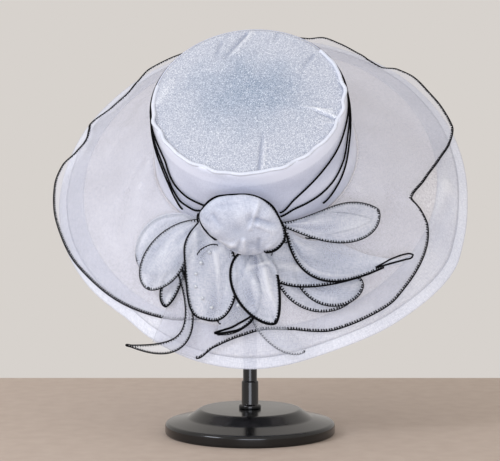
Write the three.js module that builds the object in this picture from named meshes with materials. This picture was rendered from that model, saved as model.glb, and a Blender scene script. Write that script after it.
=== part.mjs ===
// A wide-brimmed summer hat of sheer organza with black overlocked edges, set on a plain display stand.
// Millimetres, +Z up. The origin is the middle of the stand's underside and the hat's front faces -Y.
import * as THREE from 'three';

// Cloth and its edges
const CLOTH = 1.0;
const STIFF_CLOTH = 1.2;
const CROWN_WALL = 1.5;
const GAP = 0.3;
const EDGE_RADIUS = 0.9;
const EDGE_INSET = 1.9;
const CORD_SIDES = 5;

// Crown: a round wall that narrows to a flat, slightly domed tip
const CROWN_HEIGHT = 76;
const BAND_RADIUS_BASE = 96;
const BAND_RADIUS_TOP = 89;
const TIP_RADIUS = 87.2;
const TIP_DOME = 4;
const LIP_HEIGHT = 3.5;
const LIP_START = 2 / 3;

// Brim: a flared ring that drops towards its edge
const BRIM_RADIUS = 200;
const BRIM_DROP = 58;
const BRIM_CURVE = 1.15;
const HEM_WIDTH = 9;
const HEM_THICKNESS = 1.8;

// The hat leans back on the stand and a little to its left
const HAT_CENTRE = new THREE.Vector3(5.2, 39.75, 259.1);
const HAT_TILT = THREE.MathUtils.degToRad(50.2);
const HAT_LEAN = THREE.MathUtils.degToRad(5);

// Stand
const BASE_RADIUS = 79;
const BASE_EDGE_HEIGHT = 11;
const BASE_DISC_RADIUS = 48;
const BASE_HEIGHT = 23;
const SLEEVE_RADIUS = 7.8;
const SLEEVE_HEIGHT = 22;
const COLLAR_RADIUS = 10.3;
const COLLAR_HEIGHT = 4;
const POLE_RADIUS = 6.5;
const HEAD_RADIUS = 60;
const HEAD_FLOOR = 67;
const HEAD_EDGE = 73;

const SASH_WHITE = { color: '#d3d8e8', roughness: 0.45, metalness: 0 };
const ORGANZA = { color: '#dfe2ee', roughness: 0.5, metalness: 0 };
const GLITTER = { color: '#dfe3ea', roughness: 0.35, metalness: 0.1 };
const BLACK_THREAD = { color: '#0b0d14', roughness: 0.6, metalness: 0 };
const BLACK_PLASTIC = { color: '#101214', roughness: 0.25, metalness: 0 };

// Radius of the brim's edge at each angle, 0 to the right and -90 to the front
const BRIM_EDGE = [
  { angle: -180, radius: 198 }, { angle: -148, radius: 194 }, { angle: -132, radius: 191 },
  { angle: -122, radius: 195 }, { angle: -107, radius: 200 }, { angle: -93, radius: 202 },
  { angle: -72, radius: 199 }, { angle: -51, radius: 202 }, { angle: -29, radius: 207 },
  { angle: -20, radius: 204 }, { angle: -5, radius: 200 }, { angle: 15, radius: 199 },
  { angle: 60, radius: 200 }, { angle: 120, radius: 200 }, { angle: 180, radius: 198 },
];

// The ruffled overlay starts at the front left, runs once round the crown and ends under its own start.
// radius is its outer edge, rise the edge's height above the brim and seat the height at the crown.
const OVERLAY_EDGE = [
  { angle: -120, radius: 199, rise: 5.5, seat: 3.0 }, { angle: -107, radius: 200, rise: 5.2, seat: 3.0 },
  { angle: -103, radius: 190, rise: 5.0, seat: 3.0 }, { angle: -95, radius: 179, rise: 4.5, seat: 2.2 },
  { angle: -88, radius: 174, rise: 4.0, seat: 1.5 }, { angle: -75, radius: 181, rise: 3.0, seat: 1.5 },
  { angle: -58, radius: 188, rise: 4.0, seat: 1.5 }, { angle: -44, radius: 187, rise: 5.0, seat: 1.5 },
  { angle: -30, radius: 180, rise: 6.0, seat: 1.5 }, { angle: -24, radius: 173, rise: 8.0, seat: 1.5 },
  { angle: -19, radius: 154, rise: 11.0, seat: 1.5 }, { angle: -8, radius: 160, rise: 8.0, seat: 1.5 },
  { angle: 3, radius: 175, rise: 8.0, seat: 1.5 }, { angle: 14, radius: 196, rise: 12.0, seat: 1.5 },
  { angle: 24, radius: 200, rise: 13.0, seat: 1.5 }, { angle: 40, radius: 206, rise: 8.0, seat: 1.5 },
  { angle: 49, radius: 191, rise: 4.0, seat: 1.5 }, { angle: 58, radius: 197, rise: 4.0, seat: 1.5 },
  { angle: 70, radius: 199, rise: 12.0, seat: 1.5 }, { angle: 84, radius: 196, rise: 7.0, seat: 1.5 },
  { angle: 98, radius: 198, rise: 12.0, seat: 1.5 }, { angle: 110, radius: 197, rise: 7.0, seat: 1.5 },
  { angle: 122, radius: 195, rise: 9.0, seat: 1.5 }, { angle: 132, radius: 188, rise: 6.0, seat: 1.5 },
  { angle: 140, radius: 180, rise: 6.0, seat: 1.5 }, { angle: 153, radius: 192, rise: 8.0, seat: 1.5 },
  { angle: 160, radius: 184, rise: 8.0, seat: 1.5 }, { angle: 171, radius: 199, rise: 13.0, seat: 1.5 },
  { angle: 183, radius: 202, rise: 10.0, seat: 1.5 }, { angle: 202, radius: 195, rise: 4.0, seat: 1.5 },
  { angle: 225, radius: 185, rise: 3.0, seat: 1.5 }, { angle: 241, radius: 177, rise: 2.6, seat: 1.5 },
  { angle: 256, radius: 168, rise: 2.4, seat: 1.5 },
];
const OVERLAY_INNER = 97.5;
const OVERLAY_EDGING_START = -107;
const OVERLAY_STEP = 7;
const CORD_STEP = 9;
const SEGMENTS = 40;
const BRIM_SEGMENTS = 46;

// Black cords of the sash, each from the bow's right side round the back to its left side
const SASH_CORDS = {
  sash_cord_upper: [
    { angle: -75, height: 26 }, { angle: -66, height: 37 }, { angle: -56, height: 45 },
    { angle: -44, height: 52 }, { angle: -30, height: 58 }, { angle: -12, height: 67 },
    { angle: 15, height: 72 }, { angle: 90, height: 73 }, { angle: 170, height: 72 },
    { angle: 200, height: 67 }, { angle: 212, height: 58 }, { angle: 216, height: 45 },
    { angle: 222, height: 36 }, { angle: 232, height: 32 }, { angle: 242, height: 32 },
  ],
  sash_cord_middle: [
    { angle: -75, height: 21 }, { angle: -66, height: 25 }, { angle: -53, height: 25 },
    { angle: -41, height: 27 }, { angle: -28, height: 35 }, { angle: -15, height: 53 },
    { angle: 5, height: 65 }, { angle: 90, height: 68 }, { angle: 180, height: 65 },
    { angle: 203, height: 54 }, { angle: 213, height: 40 }, { angle: 219, height: 27 },
    { angle: 226, height: 19 }, { angle: 234, height: 19 }, { angle: 242, height: 24 },
  ],
  sash_cord_lower: [
    { angle: -49, height: 12 }, { angle: -36, height: 18 }, { angle: -26, height: 27 },
    { angle: -15, height: 43 }, { angle: 5, height: 59 }, { angle: 90, height: 63 },
    { angle: 180, height: 58 }, { angle: 204, height: 44 }, { angle: 214, height: 30 },
    { angle: 220, height: 18 }, { angle: 226, height: 10 },
  ],
};

const NOSE_RADIUS = 1.9;
const LEAF_STATIONS = 9;
const TAIL_STATIONS = 15;
const PETAL_STATIONS = 12;

// Leaves of the bow, seen from above the brim. Each runs from the sash at the angle anchor, through
// root, bends towards mid and ends at tip. left and right are its greatest half-widths, stem the half-width
// at the root, swell and taper the powers that shape it, and low and high its heights above the brim.
// crown is how far the cloth puffs up between its edges.
const LEAVES = {
  tail_leaf_right: {
    anchor: -92, root: [-8, -151], mid: [13, -187], tip: [40, -192], left: 6.3, right: 6.3, stem: 3.5,
    swell: 0.62, taper: 0.61, low: 5.6, high: 8, crown: 0, edges: 'both',
  },
  tail_leaf_left: {
    anchor: -116, root: [-70, -124], mid: [-43, -205], tip: [-124, -173], left: 4.1, right: 4.1, stem: 2.4,
    swell: 1.73, taper: 1.03, low: 8.4, high: 12.4, crown: 0, edges: 'both', stations: TAIL_STATIONS,
  },
  small_leaf_left: {
    anchor: -112, root: [-64, -107], mid: [-84, -132], tip: [-85, -148], left: 7.2, right: 7.2, stem: 2.4,
    swell: 0.72, taper: 0.62, low: 5.5, high: 8, crown: 0, edges: 'both',
  },
  curled_leaf_front: {
    anchor: -96, root: [-13, -128], mid: [-10, -160], tip: [-38, -178], left: 16, right: 14, stem: 3.9,
    swell: 0.7, taper: 0.9, low: 9.6, high: 11, crown: 0, edges: 'both',
  },
  back_loop_left: {
    anchor: -123.5, root: [-55, -83], mid: [-86, -98], tip: [-112, -103], left: 22.6, right: 22.6, stem: 2.8,
    swell: 0.69, taper: 0.53, low: 10.6, high: 11.5, crown: 0.5, edges: 'both',
  },
  front_loop_left: {
    anchor: -119.5, root: [-49, -87], mid: [-84, -103], tip: [-100, -135], left: 18.6, right: 18.6, stem: 3.1,
    swell: 1.01, taper: 0.56, low: 13.6, high: 16, crown: 3, edges: 'both',
  },
  round_petal_right: {
    anchor: -84, root: [19, -131], mid: [48, -153], tip: [93, -131], left: 17.6, right: 17.6, stem: 3,
    swell: 0.87, taper: 0.59, low: 5.8, high: 7.5, crown: 0, edges: 'both',
  },
  inner_petal_right: {
    anchor: -79, root: [40, -121], mid: [55, -152], tip: [95, -135], left: 15, right: 15, stem: 3,
    swell: 0.55, taper: 0.5, low: 9, high: 10.5, crown: 0, edges: 'both',
  },
  under_leaf_right: {
    anchor: -86, root: [14, -125], mid: [80, -136], tip: [133, -113], left: 13.9, right: 13.9, stem: 4.5,
    swell: 0.35, taper: 1.45, low: 12.4, high: 14.5, crown: 0, edges: 'right',
  },
  long_leaf_right: {
    anchor: -76, root: [32, -104], mid: [48, -164], tip: [140, -109], left: 33.9, right: 5.3, stem: 3.3,
    swell: 1.31, taper: 1.8, low: 15.6, high: 18, crown: 1, edges: 'right',
  },
  loop_right: {
    anchor: -77, root: [26, -98], mid: [78, -104], tip: [113, -76], left: 15.6, right: 15.6, stem: 2,
    swell: 1.26, taper: 0.69, low: 19, high: 22, crown: 3, edges: 'both',
  },
  beaded_petal: {
    anchor: -121, root: [-49, -88], mid: [-29, -114], tip: [-50, -170], left: 23.4, right: 23.4, stem: 2.3,
    swell: 0.29, swellLeft: 1.2, taper: 0.35, low: 17.4, high: 22, crown: 4, edges: 'both',
  },
  front_petal: {
    anchor: -94, root: [-3, -121], mid: [-6, -146], tip: [16, -182], left: 18.6, right: 19.2, stem: 2.8,
    swell: 0.5, taper: 0.63, low: 21, high: 31, crown: 3, edges: 'both', stations: PETAL_STATIONS,
  },
};

// The bow's puffed centre is a cloth dome on a plane that faces up and forward
const PUFF_CENTRE = new THREE.Vector3(-8, -116.4, 39.6);
const PUFF_ACROSS = new THREE.Vector3(1, 0, 0);
const PUFF_UP = new THREE.Vector3(0, 0.425, 0.905);
const PUFF_OUT = new THREE.Vector3(0, -0.905, 0.425);
const PUFF_HEIGHT = 15;
const PUFF_EDGE = [
  { angle: -180, radius: 36 }, { angle: -157, radius: 28 }, { angle: -130, radius: 26 },
  { angle: -100, radius: 26 }, { angle: -82, radius: 29 }, { angle: -57, radius: 33 },
  { angle: -43, radius: 39 }, { angle: -26, radius: 40 }, { angle: -6, radius: 36 },
  { angle: 16, radius: 33 }, { angle: 40, radius: 33 }, { angle: 77, radius: 34 },
  { angle: 110, radius: 36 }, { angle: 132, radius: 39 }, { angle: 153, radius: 41 },
  { angle: 180, radius: 36 },
];
const PUFF_EDGING = { from: -57, to: 203 };
const STEM_RADIUS = 7;
const STEM_BACK = -23.1;

// A smooth value of one column of a table at an angle between its rows
function valueAt(rows, angle, column, key = 'angle') {
  const last = rows.length - 1;
  let row = 0;
  while (row < last - 1 && rows[row + 1][key] <= angle) row += 1;
  const slope = (i) => {
    const before = rows[Math.max(i - 1, 0)];
    const after = rows[Math.min(i + 1, last)];
    return (after[column] - before[column]) / (after[key] - before[key]);
  };
  const span = rows[row + 1][key] - rows[row][key];
  const t = THREE.MathUtils.clamp((angle - rows[row][key]) / span, 0, 1);
  const start = rows[row][column];
  const end = rows[row + 1][column];
  return (2 * t ** 3 - 3 * t ** 2 + 1) * start + (t ** 3 - 2 * t ** 2 + t) * span * slope(row)
    + (3 * t ** 2 - 2 * t ** 3) * end + (t ** 3 - t ** 2) * span * slope(row + 1);
}

// An angle brought into the range from -180 to 180
function wrapped(angle) {
  return angle > 180 ? angle - 360 : angle;
}

function brimHeight(radius) {
  const share = Math.max(radius - BAND_RADIUS_BASE, 0) / (BRIM_RADIUS - BAND_RADIUS_BASE);
  return -BRIM_DROP * share ** BRIM_CURVE;
}

function brimEdgeRadius(angle) {
  return valueAt(BRIM_EDGE, wrapped(angle), 'radius');
}

// Outer radius of the sash at a height above the brim
function bandRadius(height) {
  return BAND_RADIUS_BASE + (BAND_RADIUS_TOP - BAND_RADIUS_BASE) * height / CROWN_HEIGHT;
}

function polar(radius, angle, height) {
  const turn = THREE.MathUtils.degToRad(angle);
  return new THREE.Vector3(radius * Math.cos(turn), radius * Math.sin(turn), height);
}

// A closed wall of cloth on a surface point(u, v), u and v from 0 to 1, thickened along its normals.
// ring joins u = 1 to u = 0. A poleNormal says that all points at v = 0 are one, and which way it faces.
function clothWall(point, { along, across, thickness, ring = false, poleNormal = null }) {
  const step = 1e-3;
  const columns = ring ? along : along + 1;
  const faces = { top: [], bottom: [] };
  for (let i = 0; i < columns; i += 1) {
    for (let j = 0; j <= across; j += 1) {
      const u = i / along;
      const v = j / across;
      const middle = point(u, v);
      const safe = THREE.MathUtils.clamp(v, step, 1 - step);
      const side = ring ? u : THREE.MathUtils.clamp(u, step, 1 - step);
      const alongU = point(side + step, safe).sub(point(side - step, safe));
      const alongV = point(side, safe + step).sub(point(side, safe - step));
      const normal = poleNormal && j === 0 ? poleNormal : alongU.cross(alongV).normalize();
      faces.top.push(middle.clone().addScaledVector(normal, thickness / 2));
      faces.bottom.push(middle.clone().addScaledVector(normal, -thickness / 2));
    }
  }
  const at = (face, i, j) => face[(i % columns) * (across + 1) + j];
  const positions = [];
  const triangle = (a, b, c) => {
    if (a.distanceTo(b) < 1e-4 || b.distanceTo(c) < 1e-4 || a.distanceTo(c) < 1e-4) return;
    for (const corner of [a, b, c]) positions.push(corner.x, corner.y, corner.z);
  };
  const quad = (a, b, c, d) => {
    triangle(a, b, c);
    triangle(a, c, d);
  };
  const rim = (i, j, nextI, nextJ) => {
    const { top, bottom } = faces;
    quad(at(top, nextI, nextJ), at(top, i, j), at(bottom, i, j), at(bottom, nextI, nextJ));
  };
  for (let i = 0; i < along; i += 1) {
    for (let j = 0; j < across; j += 1) {
      const corners = [[i, j], [i + 1, j], [i + 1, j + 1], [i, j + 1]];
      quad(...corners.map(([a, b]) => at(faces.top, a, b)));
      quad(...corners.reverse().map(([a, b]) => at(faces.bottom, a, b)));
    }
    if (!poleNormal) rim(i, 0, i + 1, 0);
    rim(i + 1, across, i, across);
  }
  for (let j = 0; j < across && !ring; j += 1) {
    rim(0, j + 1, 0, j);
    rim(along, j, along, j + 1);
  }
  const geometry = new THREE.BufferGeometry();
  geometry.setAttribute('position', new THREE.Float32BufferAttribute(positions, 3));
  geometry.computeVertexNormals();
  return geometry;
}

// A curve whose even steps fall on its points, so that a cord has a section at each of them
class Route extends THREE.CatmullRomCurve3 {
  getUtoTmapping(u) {
    return u;
  }
}

// A round cord through points
function cord(points) {
  const corners = Array.from({ length: CORD_SIDES }, (_, i) => {
    const turn = 2 * Math.PI * i / CORD_SIDES;
    return new THREE.Vector2(EDGE_RADIUS * Math.cos(turn), EDGE_RADIUS * Math.sin(turn));
  });
  const extrudePath = new Route(points, false, 'centripetal');
  return new THREE.ExtrudeGeometry(new THREE.Shape(corners), {
    steps: points.length - 1, extrudePath, bevelEnabled: false,
  });
}

// A turned solid about +Z from pairs of radius and height
function turned(profile, segments) {
  const points = profile.map(([radius, height]) => new THREE.Vector2(radius, height));
  return new THREE.LatheGeometry(points, segments).rotateX(Math.PI / 2);
}

function named(name, geometry, finish) {
  const mesh = new THREE.Mesh(geometry, new THREE.MeshStandardMaterial(finish));
  mesh.name = name;
  return mesh;
}

// Sections of a leaf lie closer together near its two ends
function stationShare(u) {
  return 0.5 - 0.5 * Math.cos(Math.PI * u);
}

// A leaf's middle line, half-widths and height, for a place s that is 0 at its root and 1 at its tip
function leafForm(leaf) {
  const root = new THREE.Vector2(...leaf.root);
  const mid = new THREE.Vector2(...leaf.mid);
  const tip = new THREE.Vector2(...leaf.tip);
  const wall = polar(bandRadius(leaf.low) + GAP + 0.18 * leaf.stem, leaf.anchor, 0);
  const seat = new THREE.Vector2(wall.x, wall.y);
  const stemLength = seat.distanceTo(root);
  const lead = root.clone().addScaledVector(mid.clone().sub(root).normalize(), -0.3 * stemLength);
  const start = -stemLength / (2 * root.distanceTo(mid));
  const main = new THREE.QuadraticBezierCurve(root, mid, tip);
  const stem = new THREE.QuadraticBezierCurve(seat, lead, root);
  const length = root.distanceTo(tip);
  const curveAt = (s) => (s < 0 ? [stem, 1 - s / start] : [main, Math.min(s, 1)]);
  const noseStart = 1 - NOSE_RADIUS / length;
  const nose = (s) => {
    const share = Math.max(s - noseStart, 0) / (1 - noseStart);
    return Math.sqrt(Math.max(1 - share ** 2, 0));
  };
  const halfWidth = (s, { most, swell }) => {
    if (s <= 0) return leaf.stem;
    const peak = swell / (swell + leaf.taper);
    const body = most * (s / peak) ** swell * ((1 - s) / (1 - peak)) ** leaf.taper;
    return Math.max(body + leaf.stem * (1 - s) ** leaf.taper, NOSE_RADIUS * nose(s));
  };
  const sides = {
    left: { sign: 1, most: leaf.left, swell: leaf.swellLeft ?? leaf.swell },
    right: { sign: -1, most: leaf.right, swell: leaf.swell },
  };
  const pointAt = (s, sideways, lift = 0) => {
    const [curve, t] = curveAt(s);
    const centre = curve.getPoint(t);
    const heading = curve.getTangent(t);
    const x = centre.x - heading.y * sideways;
    const y = centre.y + heading.x * sideways;
    const rise = THREE.MathUtils.lerp(leaf.low, leaf.high, Math.max(s, 0));
    return new THREE.Vector3(x, y, brimHeight(Math.hypot(x, y)) + rise + lift);
  };
  const stations = leaf.stations ?? LEAF_STATIONS;
  return { start, length, halfWidth, pointAt, sides, stations };
}

// The leaf's cloth, which stops short of the cord round it
function leafCloth(leaf) {
  const { start, length, halfWidth, pointAt, sides, stations } = leafForm(leaf);
  const inset = EDGE_INSET / length;
  const clothHalf = (s, side) => {
    const near = [s - inset, s, s + inset].map((place) => halfWidth(Math.min(place, 1), side));
    const narrowest = Math.min(...near);
    return Math.max(narrowest - EDGE_INSET, 0.4);
  };
  const surface = (u, v) => {
    const s = start + (1 - 2 * inset - start) * stationShare(u);
    const share = 2 * v - 1;
    const reach = clothHalf(s, share > 0 ? sides.left : sides.right);
    const swell = leaf.crown * (1 - share ** 2) * Math.sin(Math.PI * Math.max(s, 0));
    return pointAt(s, share * reach, swell);
  };
  return clothWall(surface, { along: stations, across: leaf.crown > 0 ? 4 : 2, thickness: CLOTH });
}

// The black cord round a leaf, or along its right side and tip only
function leafEdging(leaf) {
  const { start, length, halfWidth, pointAt, sides, stations } = leafForm(leaf);
  const first = start + 1.2 / length;
  const along = (side) => Array.from({ length: stations }, (_, i) => {
    const s = first + (1 - first) * stationShare(i / stations);
    return pointAt(s, side.sign * halfWidth(s, side));
  });
  const left = leaf.edges === 'both' ? along(sides.left) : [];
  return cord([...left, pointAt(1, 0), ...along(sides.right).reverse()]);
}

const part = new THREE.Group();
const hat = new THREE.Group();
hat.position.copy(HAT_CENTRE);
hat.rotation.set(HAT_TILT, -HAT_LEAN, 0);
part.add(hat);

// Stand: a weighted foot, a pole with a rounded end and a tilted round head under the crown's tip
const slope = BASE_DISC_RADIUS + 10;
part.add(named('stand_base', turned([
  [0, 0], [BASE_RADIUS - 1, 0], [BASE_RADIUS, 1], [BASE_RADIUS, BASE_EDGE_HEIGHT - 2],
  [BASE_RADIUS - 2, BASE_EDGE_HEIGHT], [slope, BASE_EDGE_HEIGHT + 4], [BASE_DISC_RADIUS, BASE_HEIGHT - 1],
  [BASE_DISC_RADIUS - 2, BASE_HEIGHT], [0, BASE_HEIGHT],
], SEGMENTS), BLACK_PLASTIC));

const hatAxis = new THREE.Vector3(0, 0, 1).applyEuler(hat.rotation);
const poleEndHeight = HEAD_FLOOR - POLE_RADIUS - GAP;
const centreAcross = HAT_CENTRE.x * hatAxis.x + HAT_CENTRE.y * hatAxis.y;
const poleEnd = HAT_CENTRE.z + (poleEndHeight + centreAcross) / hatAxis.z;
const poleFoot = BASE_HEIGHT + GAP;
const sleeveTop = poleFoot + COLLAR_HEIGHT + SLEEVE_HEIGHT;
const roundEnd = [67, 45, 22, 0].map((angle) => {
  const turn = THREE.MathUtils.degToRad(angle);
  return [POLE_RADIUS * Math.sin(turn), poleEnd + POLE_RADIUS * Math.cos(turn)];
});
part.add(named('stand_pole', turned([
  [0, poleFoot], [COLLAR_RADIUS, poleFoot], [COLLAR_RADIUS, poleFoot + COLLAR_HEIGHT - 1],
  [COLLAR_RADIUS - 1, poleFoot + COLLAR_HEIGHT], [SLEEVE_RADIUS, poleFoot + COLLAR_HEIGHT],
  [SLEEVE_RADIUS, sleeveTop - 1], [SLEEVE_RADIUS - 1, sleeveTop], [POLE_RADIUS, sleeveTop],
  [POLE_RADIUS, poleEnd], ...roundEnd,
], 16), BLACK_PLASTIC));

const tipFloor = (radius) => CROWN_HEIGHT + GAP + TIP_DOME * (1 - (radius / TIP_RADIUS) ** 2);
hat.add(named('stand_head', turned([
  [0, HEAD_FLOOR], [HEAD_RADIUS - 2, HEAD_FLOOR], [HEAD_RADIUS, HEAD_FLOOR + 2], [HEAD_RADIUS, HEAD_EDGE],
  [HEAD_RADIUS - 3, tipFloor(HEAD_RADIUS) - GAP - 0.6], [HEAD_RADIUS / 2, tipFloor(HEAD_RADIUS / 2) - 2 * GAP],
  [0, tipFloor(0) - 2 * GAP],
], SEGMENTS), BLACK_PLASTIC));

// Crown: the inner wall, the smooth sash round it and the tip that closes it
const sashInner = (height) => bandRadius(height) - CROWN_WALL - GAP;
hat.add(named('crown_side', turned([
  [sashInner(0), 0], [sashInner(CROWN_HEIGHT), CROWN_HEIGHT],
  [sashInner(CROWN_HEIGHT) - CROWN_WALL, CROWN_HEIGHT], [sashInner(0) - CROWN_WALL, 0], [sashInner(0), 0],
], SEGMENTS), ORGANZA));

hat.add(named('crown_sash', clothWall((u, v) => {
  const angle = 360 * u;
  const waves = 0.25 * Math.sin(7 * 2 * Math.PI * u) + 0.2 * Math.sin(11 * 2 * Math.PI * u + 1);
  const above = Math.max(v - LIP_START, 0) / (1 - LIP_START);
  const height = Math.min(v / LIP_START, 1) * CROWN_HEIGHT + LIP_HEIGHT * (1 + waves) * above;
  return polar(bandRadius(Math.min(height, CROWN_HEIGHT)) - CROWN_WALL / 2, angle, height);
}, { along: SEGMENTS, across: 3, thickness: CROWN_WALL, ring: true }), SASH_WHITE));

const tipRings = [0, 0.45, 0.8, 1].map((share) => share * TIP_RADIUS);
hat.add(named('crown_tip', turned([
  ...tipRings.map((radius) => [radius, tipFloor(radius)]),
  ...tipRings.slice().reverse().map((radius) => [radius, tipFloor(radius) + STIFF_CLOTH]),
], SEGMENTS), GLITTER));

for (const [name, rows] of Object.entries(SASH_CORDS)) {
  const from = rows[0].angle;
  const to = rows[rows.length - 1].angle;
  const count = Math.round((to - from) / CORD_STEP);
  const points = Array.from({ length: count + 1 }, (_, i) => {
    const angle = from + (to - from) * i / count;
    const height = valueAt(rows, angle, 'height');
    return polar(bandRadius(height) + 2 * GAP + EDGE_RADIUS, angle, height);
  });
  hat.add(named(name, cord(points), BLACK_THREAD));
}

// Brim and its wide hem
const brimRing = (inner, outer, lift) => (u, v) => {
  const angle = 360 * u - 180;
  const radius = THREE.MathUtils.lerp(inner(angle), outer(angle), v);
  return polar(radius, angle, brimHeight(radius) + lift);
};
const hemInner = (angle) => brimEdgeRadius(angle) - HEM_WIDTH;
hat.add(named('brim', clothWall(brimRing(() => BAND_RADIUS_BASE + 2 * GAP, (angle) => hemInner(angle) - GAP, 0),
  { along: BRIM_SEGMENTS, across: 3, thickness: STIFF_CLOTH, ring: true }), ORGANZA));
hat.add(named('brim_hem', clothWall(brimRing(hemInner, brimEdgeRadius, -(HEM_THICKNESS - STIFF_CLOTH) / 2),
  { along: BRIM_SEGMENTS, across: 1, thickness: HEM_THICKNESS, ring: true }), ORGANZA));

// The ruffled overlay and the black cord along its edge
const overlayAngles = OVERLAY_EDGE.flatMap(({ angle }, i) => {
  const next = OVERLAY_EDGE[i + 1]?.angle;
  const count = next === undefined ? 1 : Math.ceil((next - angle) / OVERLAY_STEP);
  return Array.from({ length: count }, (_, k) => angle + (next === undefined ? 0 : k * (next - angle) / count));
});
const overlayAt = (angle, share, inset) => {
  const turn = THREE.MathUtils.radToDeg(inset / BRIM_RADIUS);
  const near = [-turn, 0, turn].map((offset) => valueAt(OVERLAY_EDGE, angle + offset, 'radius'));
  const radius = THREE.MathUtils.lerp(OVERLAY_INNER, Math.min(...near) - inset, share);
  const seat = valueAt(OVERLAY_EDGE, angle, 'seat');
  const rise = THREE.MathUtils.lerp(seat, valueAt(OVERLAY_EDGE, angle, 'rise'), share);
  return polar(radius, angle, brimHeight(radius) + rise);
};
const overlaySpans = overlayAngles.length - 1;
const overlayAngle = (u) => {
  const place = Math.min(Math.floor(u * overlaySpans + 1e-9), overlaySpans - 1);
  return THREE.MathUtils.lerp(overlayAngles[place], overlayAngles[place + 1], u * overlaySpans - place);
};
hat.add(named('brim_overlay', clothWall((u, v) => overlayAt(overlayAngle(u), v, EDGE_INSET),
  { along: overlaySpans, across: 3, thickness: CLOTH }), ORGANZA));
hat.add(named('overlay_edging', cord(overlayAngles.filter((angle) => angle >= OVERLAY_EDGING_START)
  .map((angle) => overlayAt(angle, 1, 0))), BLACK_THREAD));

// The bow: leaves from the lowest to the highest, then the puffed centre on its stem
for (const [name, leaf] of Object.entries(LEAVES)) {
  hat.add(named(name, leafCloth(leaf), ORGANZA));
  hat.add(named(`${name}_edging`, leafEdging(leaf), BLACK_THREAD));
}

const puffAt = (angle, share, inset) => {
  const reach = share * (valueAt(PUFF_EDGE, wrapped(angle), 'radius') - inset);
  const turn = THREE.MathUtils.degToRad(angle);
  return PUFF_CENTRE.clone().addScaledVector(PUFF_ACROSS, reach * Math.cos(turn))
    .addScaledVector(PUFF_UP, reach * Math.sin(turn))
    .addScaledVector(PUFF_OUT, PUFF_HEIGHT * Math.sqrt(Math.max(1 - share ** 2, 0)));
};
hat.add(named('bow_puff', clothWall((u, v) => puffAt(360 * u - 180, Math.sin(v * Math.PI / 2), EDGE_INSET),
  { along: 26, across: 4, thickness: CLOTH, ring: true, poleNormal: PUFF_OUT.clone().negate() }), ORGANZA));
const puffCordSteps = 26;
hat.add(named('bow_puff_edging', cord(Array.from({ length: puffCordSteps + 1 }, (_, i) => {
  return puffAt(THREE.MathUtils.lerp(PUFF_EDGING.from, PUFF_EDGING.to, i / puffCordSteps), 1, 0);
})), BLACK_THREAD));

const stemTop = PUFF_HEIGHT * Math.sqrt(1 - (STEM_RADIUS / 28) ** 2) - CLOTH - GAP;
const stemForm = new THREE.CylinderGeometry(STEM_RADIUS, STEM_RADIUS, stemTop - STEM_BACK, 12);
const stem = named('bow_stem', stemForm, ORGANZA);
stem.position.copy(PUFF_CENTRE).addScaledVector(PUFF_OUT, (stemTop + STEM_BACK) / 2);
stem.quaternion.setFromUnitVectors(new THREE.Vector3(0, 1, 0), PUFF_OUT);
hat.add(stem);

export default part;
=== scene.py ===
"""A summer hat of sheer organza with black overlocked edges, on a display stand.

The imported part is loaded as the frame, and each of its pieces is dressed in real cloth,
thread and moulded plastic. The hat is laid out in its own millimetres, with its crown
upright, and is then tilted onto the stand.
"""
import math

import bmesh
import bpy
import numpy as np
from mathutils import Matrix, Vector


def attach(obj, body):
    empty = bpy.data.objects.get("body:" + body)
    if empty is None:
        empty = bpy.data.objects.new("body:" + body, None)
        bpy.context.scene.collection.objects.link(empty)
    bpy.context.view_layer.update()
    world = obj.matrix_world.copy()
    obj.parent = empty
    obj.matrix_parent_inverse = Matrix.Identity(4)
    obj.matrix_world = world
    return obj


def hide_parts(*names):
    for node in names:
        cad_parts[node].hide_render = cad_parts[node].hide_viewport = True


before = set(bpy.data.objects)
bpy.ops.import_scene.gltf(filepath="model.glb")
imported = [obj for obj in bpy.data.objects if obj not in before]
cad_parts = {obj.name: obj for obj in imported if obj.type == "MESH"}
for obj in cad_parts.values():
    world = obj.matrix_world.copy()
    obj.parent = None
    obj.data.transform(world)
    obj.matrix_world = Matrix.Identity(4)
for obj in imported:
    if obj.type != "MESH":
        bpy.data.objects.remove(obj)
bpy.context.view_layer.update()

MM = 0.001
TAU = 2 * math.pi
UP = np.array((0, 0, 1.0))

# Camera, at the photograph's viewing angle
CAMERA_PLACE = Vector((0, -1.4976, 0.2739))
CAMERA_TARGET = Vector((0, 0, 0.1886))
CAMERA_LENS = 116.76
CAMERA_SENSOR = 36

# Half the side of the pale square table top that it stands on
TABLE_HALF = 0.345

# Soft lamps: place, size and power
LAMPS = [
    ("key", (-1.5, -1.0, 1.2), 0.7, 15), ("fill", (0.05, -1.7, 0.12), 1.0, 14),
    ("top", (-0.1, 0.6, 1.8), 1.4, 2.5),
]
LAMP_TARGET = Vector((0, 0.03, 0.2))

# The hat on its stand: the middle of the brim, and how far it leans back and to its left
HAT_CENTRE = Vector((5.2, 39.75, 259.1)) * MM
HAT_TILT = math.radians(50.2)
HAT_LEAN = math.radians(5)
HAT_PLACE = (Matrix.Translation(HAT_CENTRE) @ Matrix.Rotation(HAT_TILT, 4, "X")
             @ Matrix.Rotation(-HAT_LEAN, 4, "Y"))

# Crown
CROWN_HEIGHT = 76
BAND_RADIUS_BASE = 96
BAND_RADIUS_TOP = 89
TIP_RADIUS = 87.2
TIP_DOME = 4
TIP_LIFT = 0.6
LIP_HEIGHT = 3.5
LIP_THICKNESS = 0.3
SASH_THICKNESS = 1.2
WALL_THICKNESS = 0.8
CROWN_STEPS = 480

# Painted shade of the stand's dark head under the tip, in soft blue-grey: its place and width in
# metres
PAINTED_HEAD_SHADE_PLACE = (0.001, -0.009, -0.08)
PAINTED_HEAD_SHADE_SCALE = (1 / 0.075, 1 / 0.062, 0)

# Brim
BRIM_RADIUS = 200
BRIM_INNER = 95.2
BRIM_DROP = 58
BRIM_CURVE = 1.15
HEM_WIDTH = 9
FACING_INNER = 171

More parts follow.
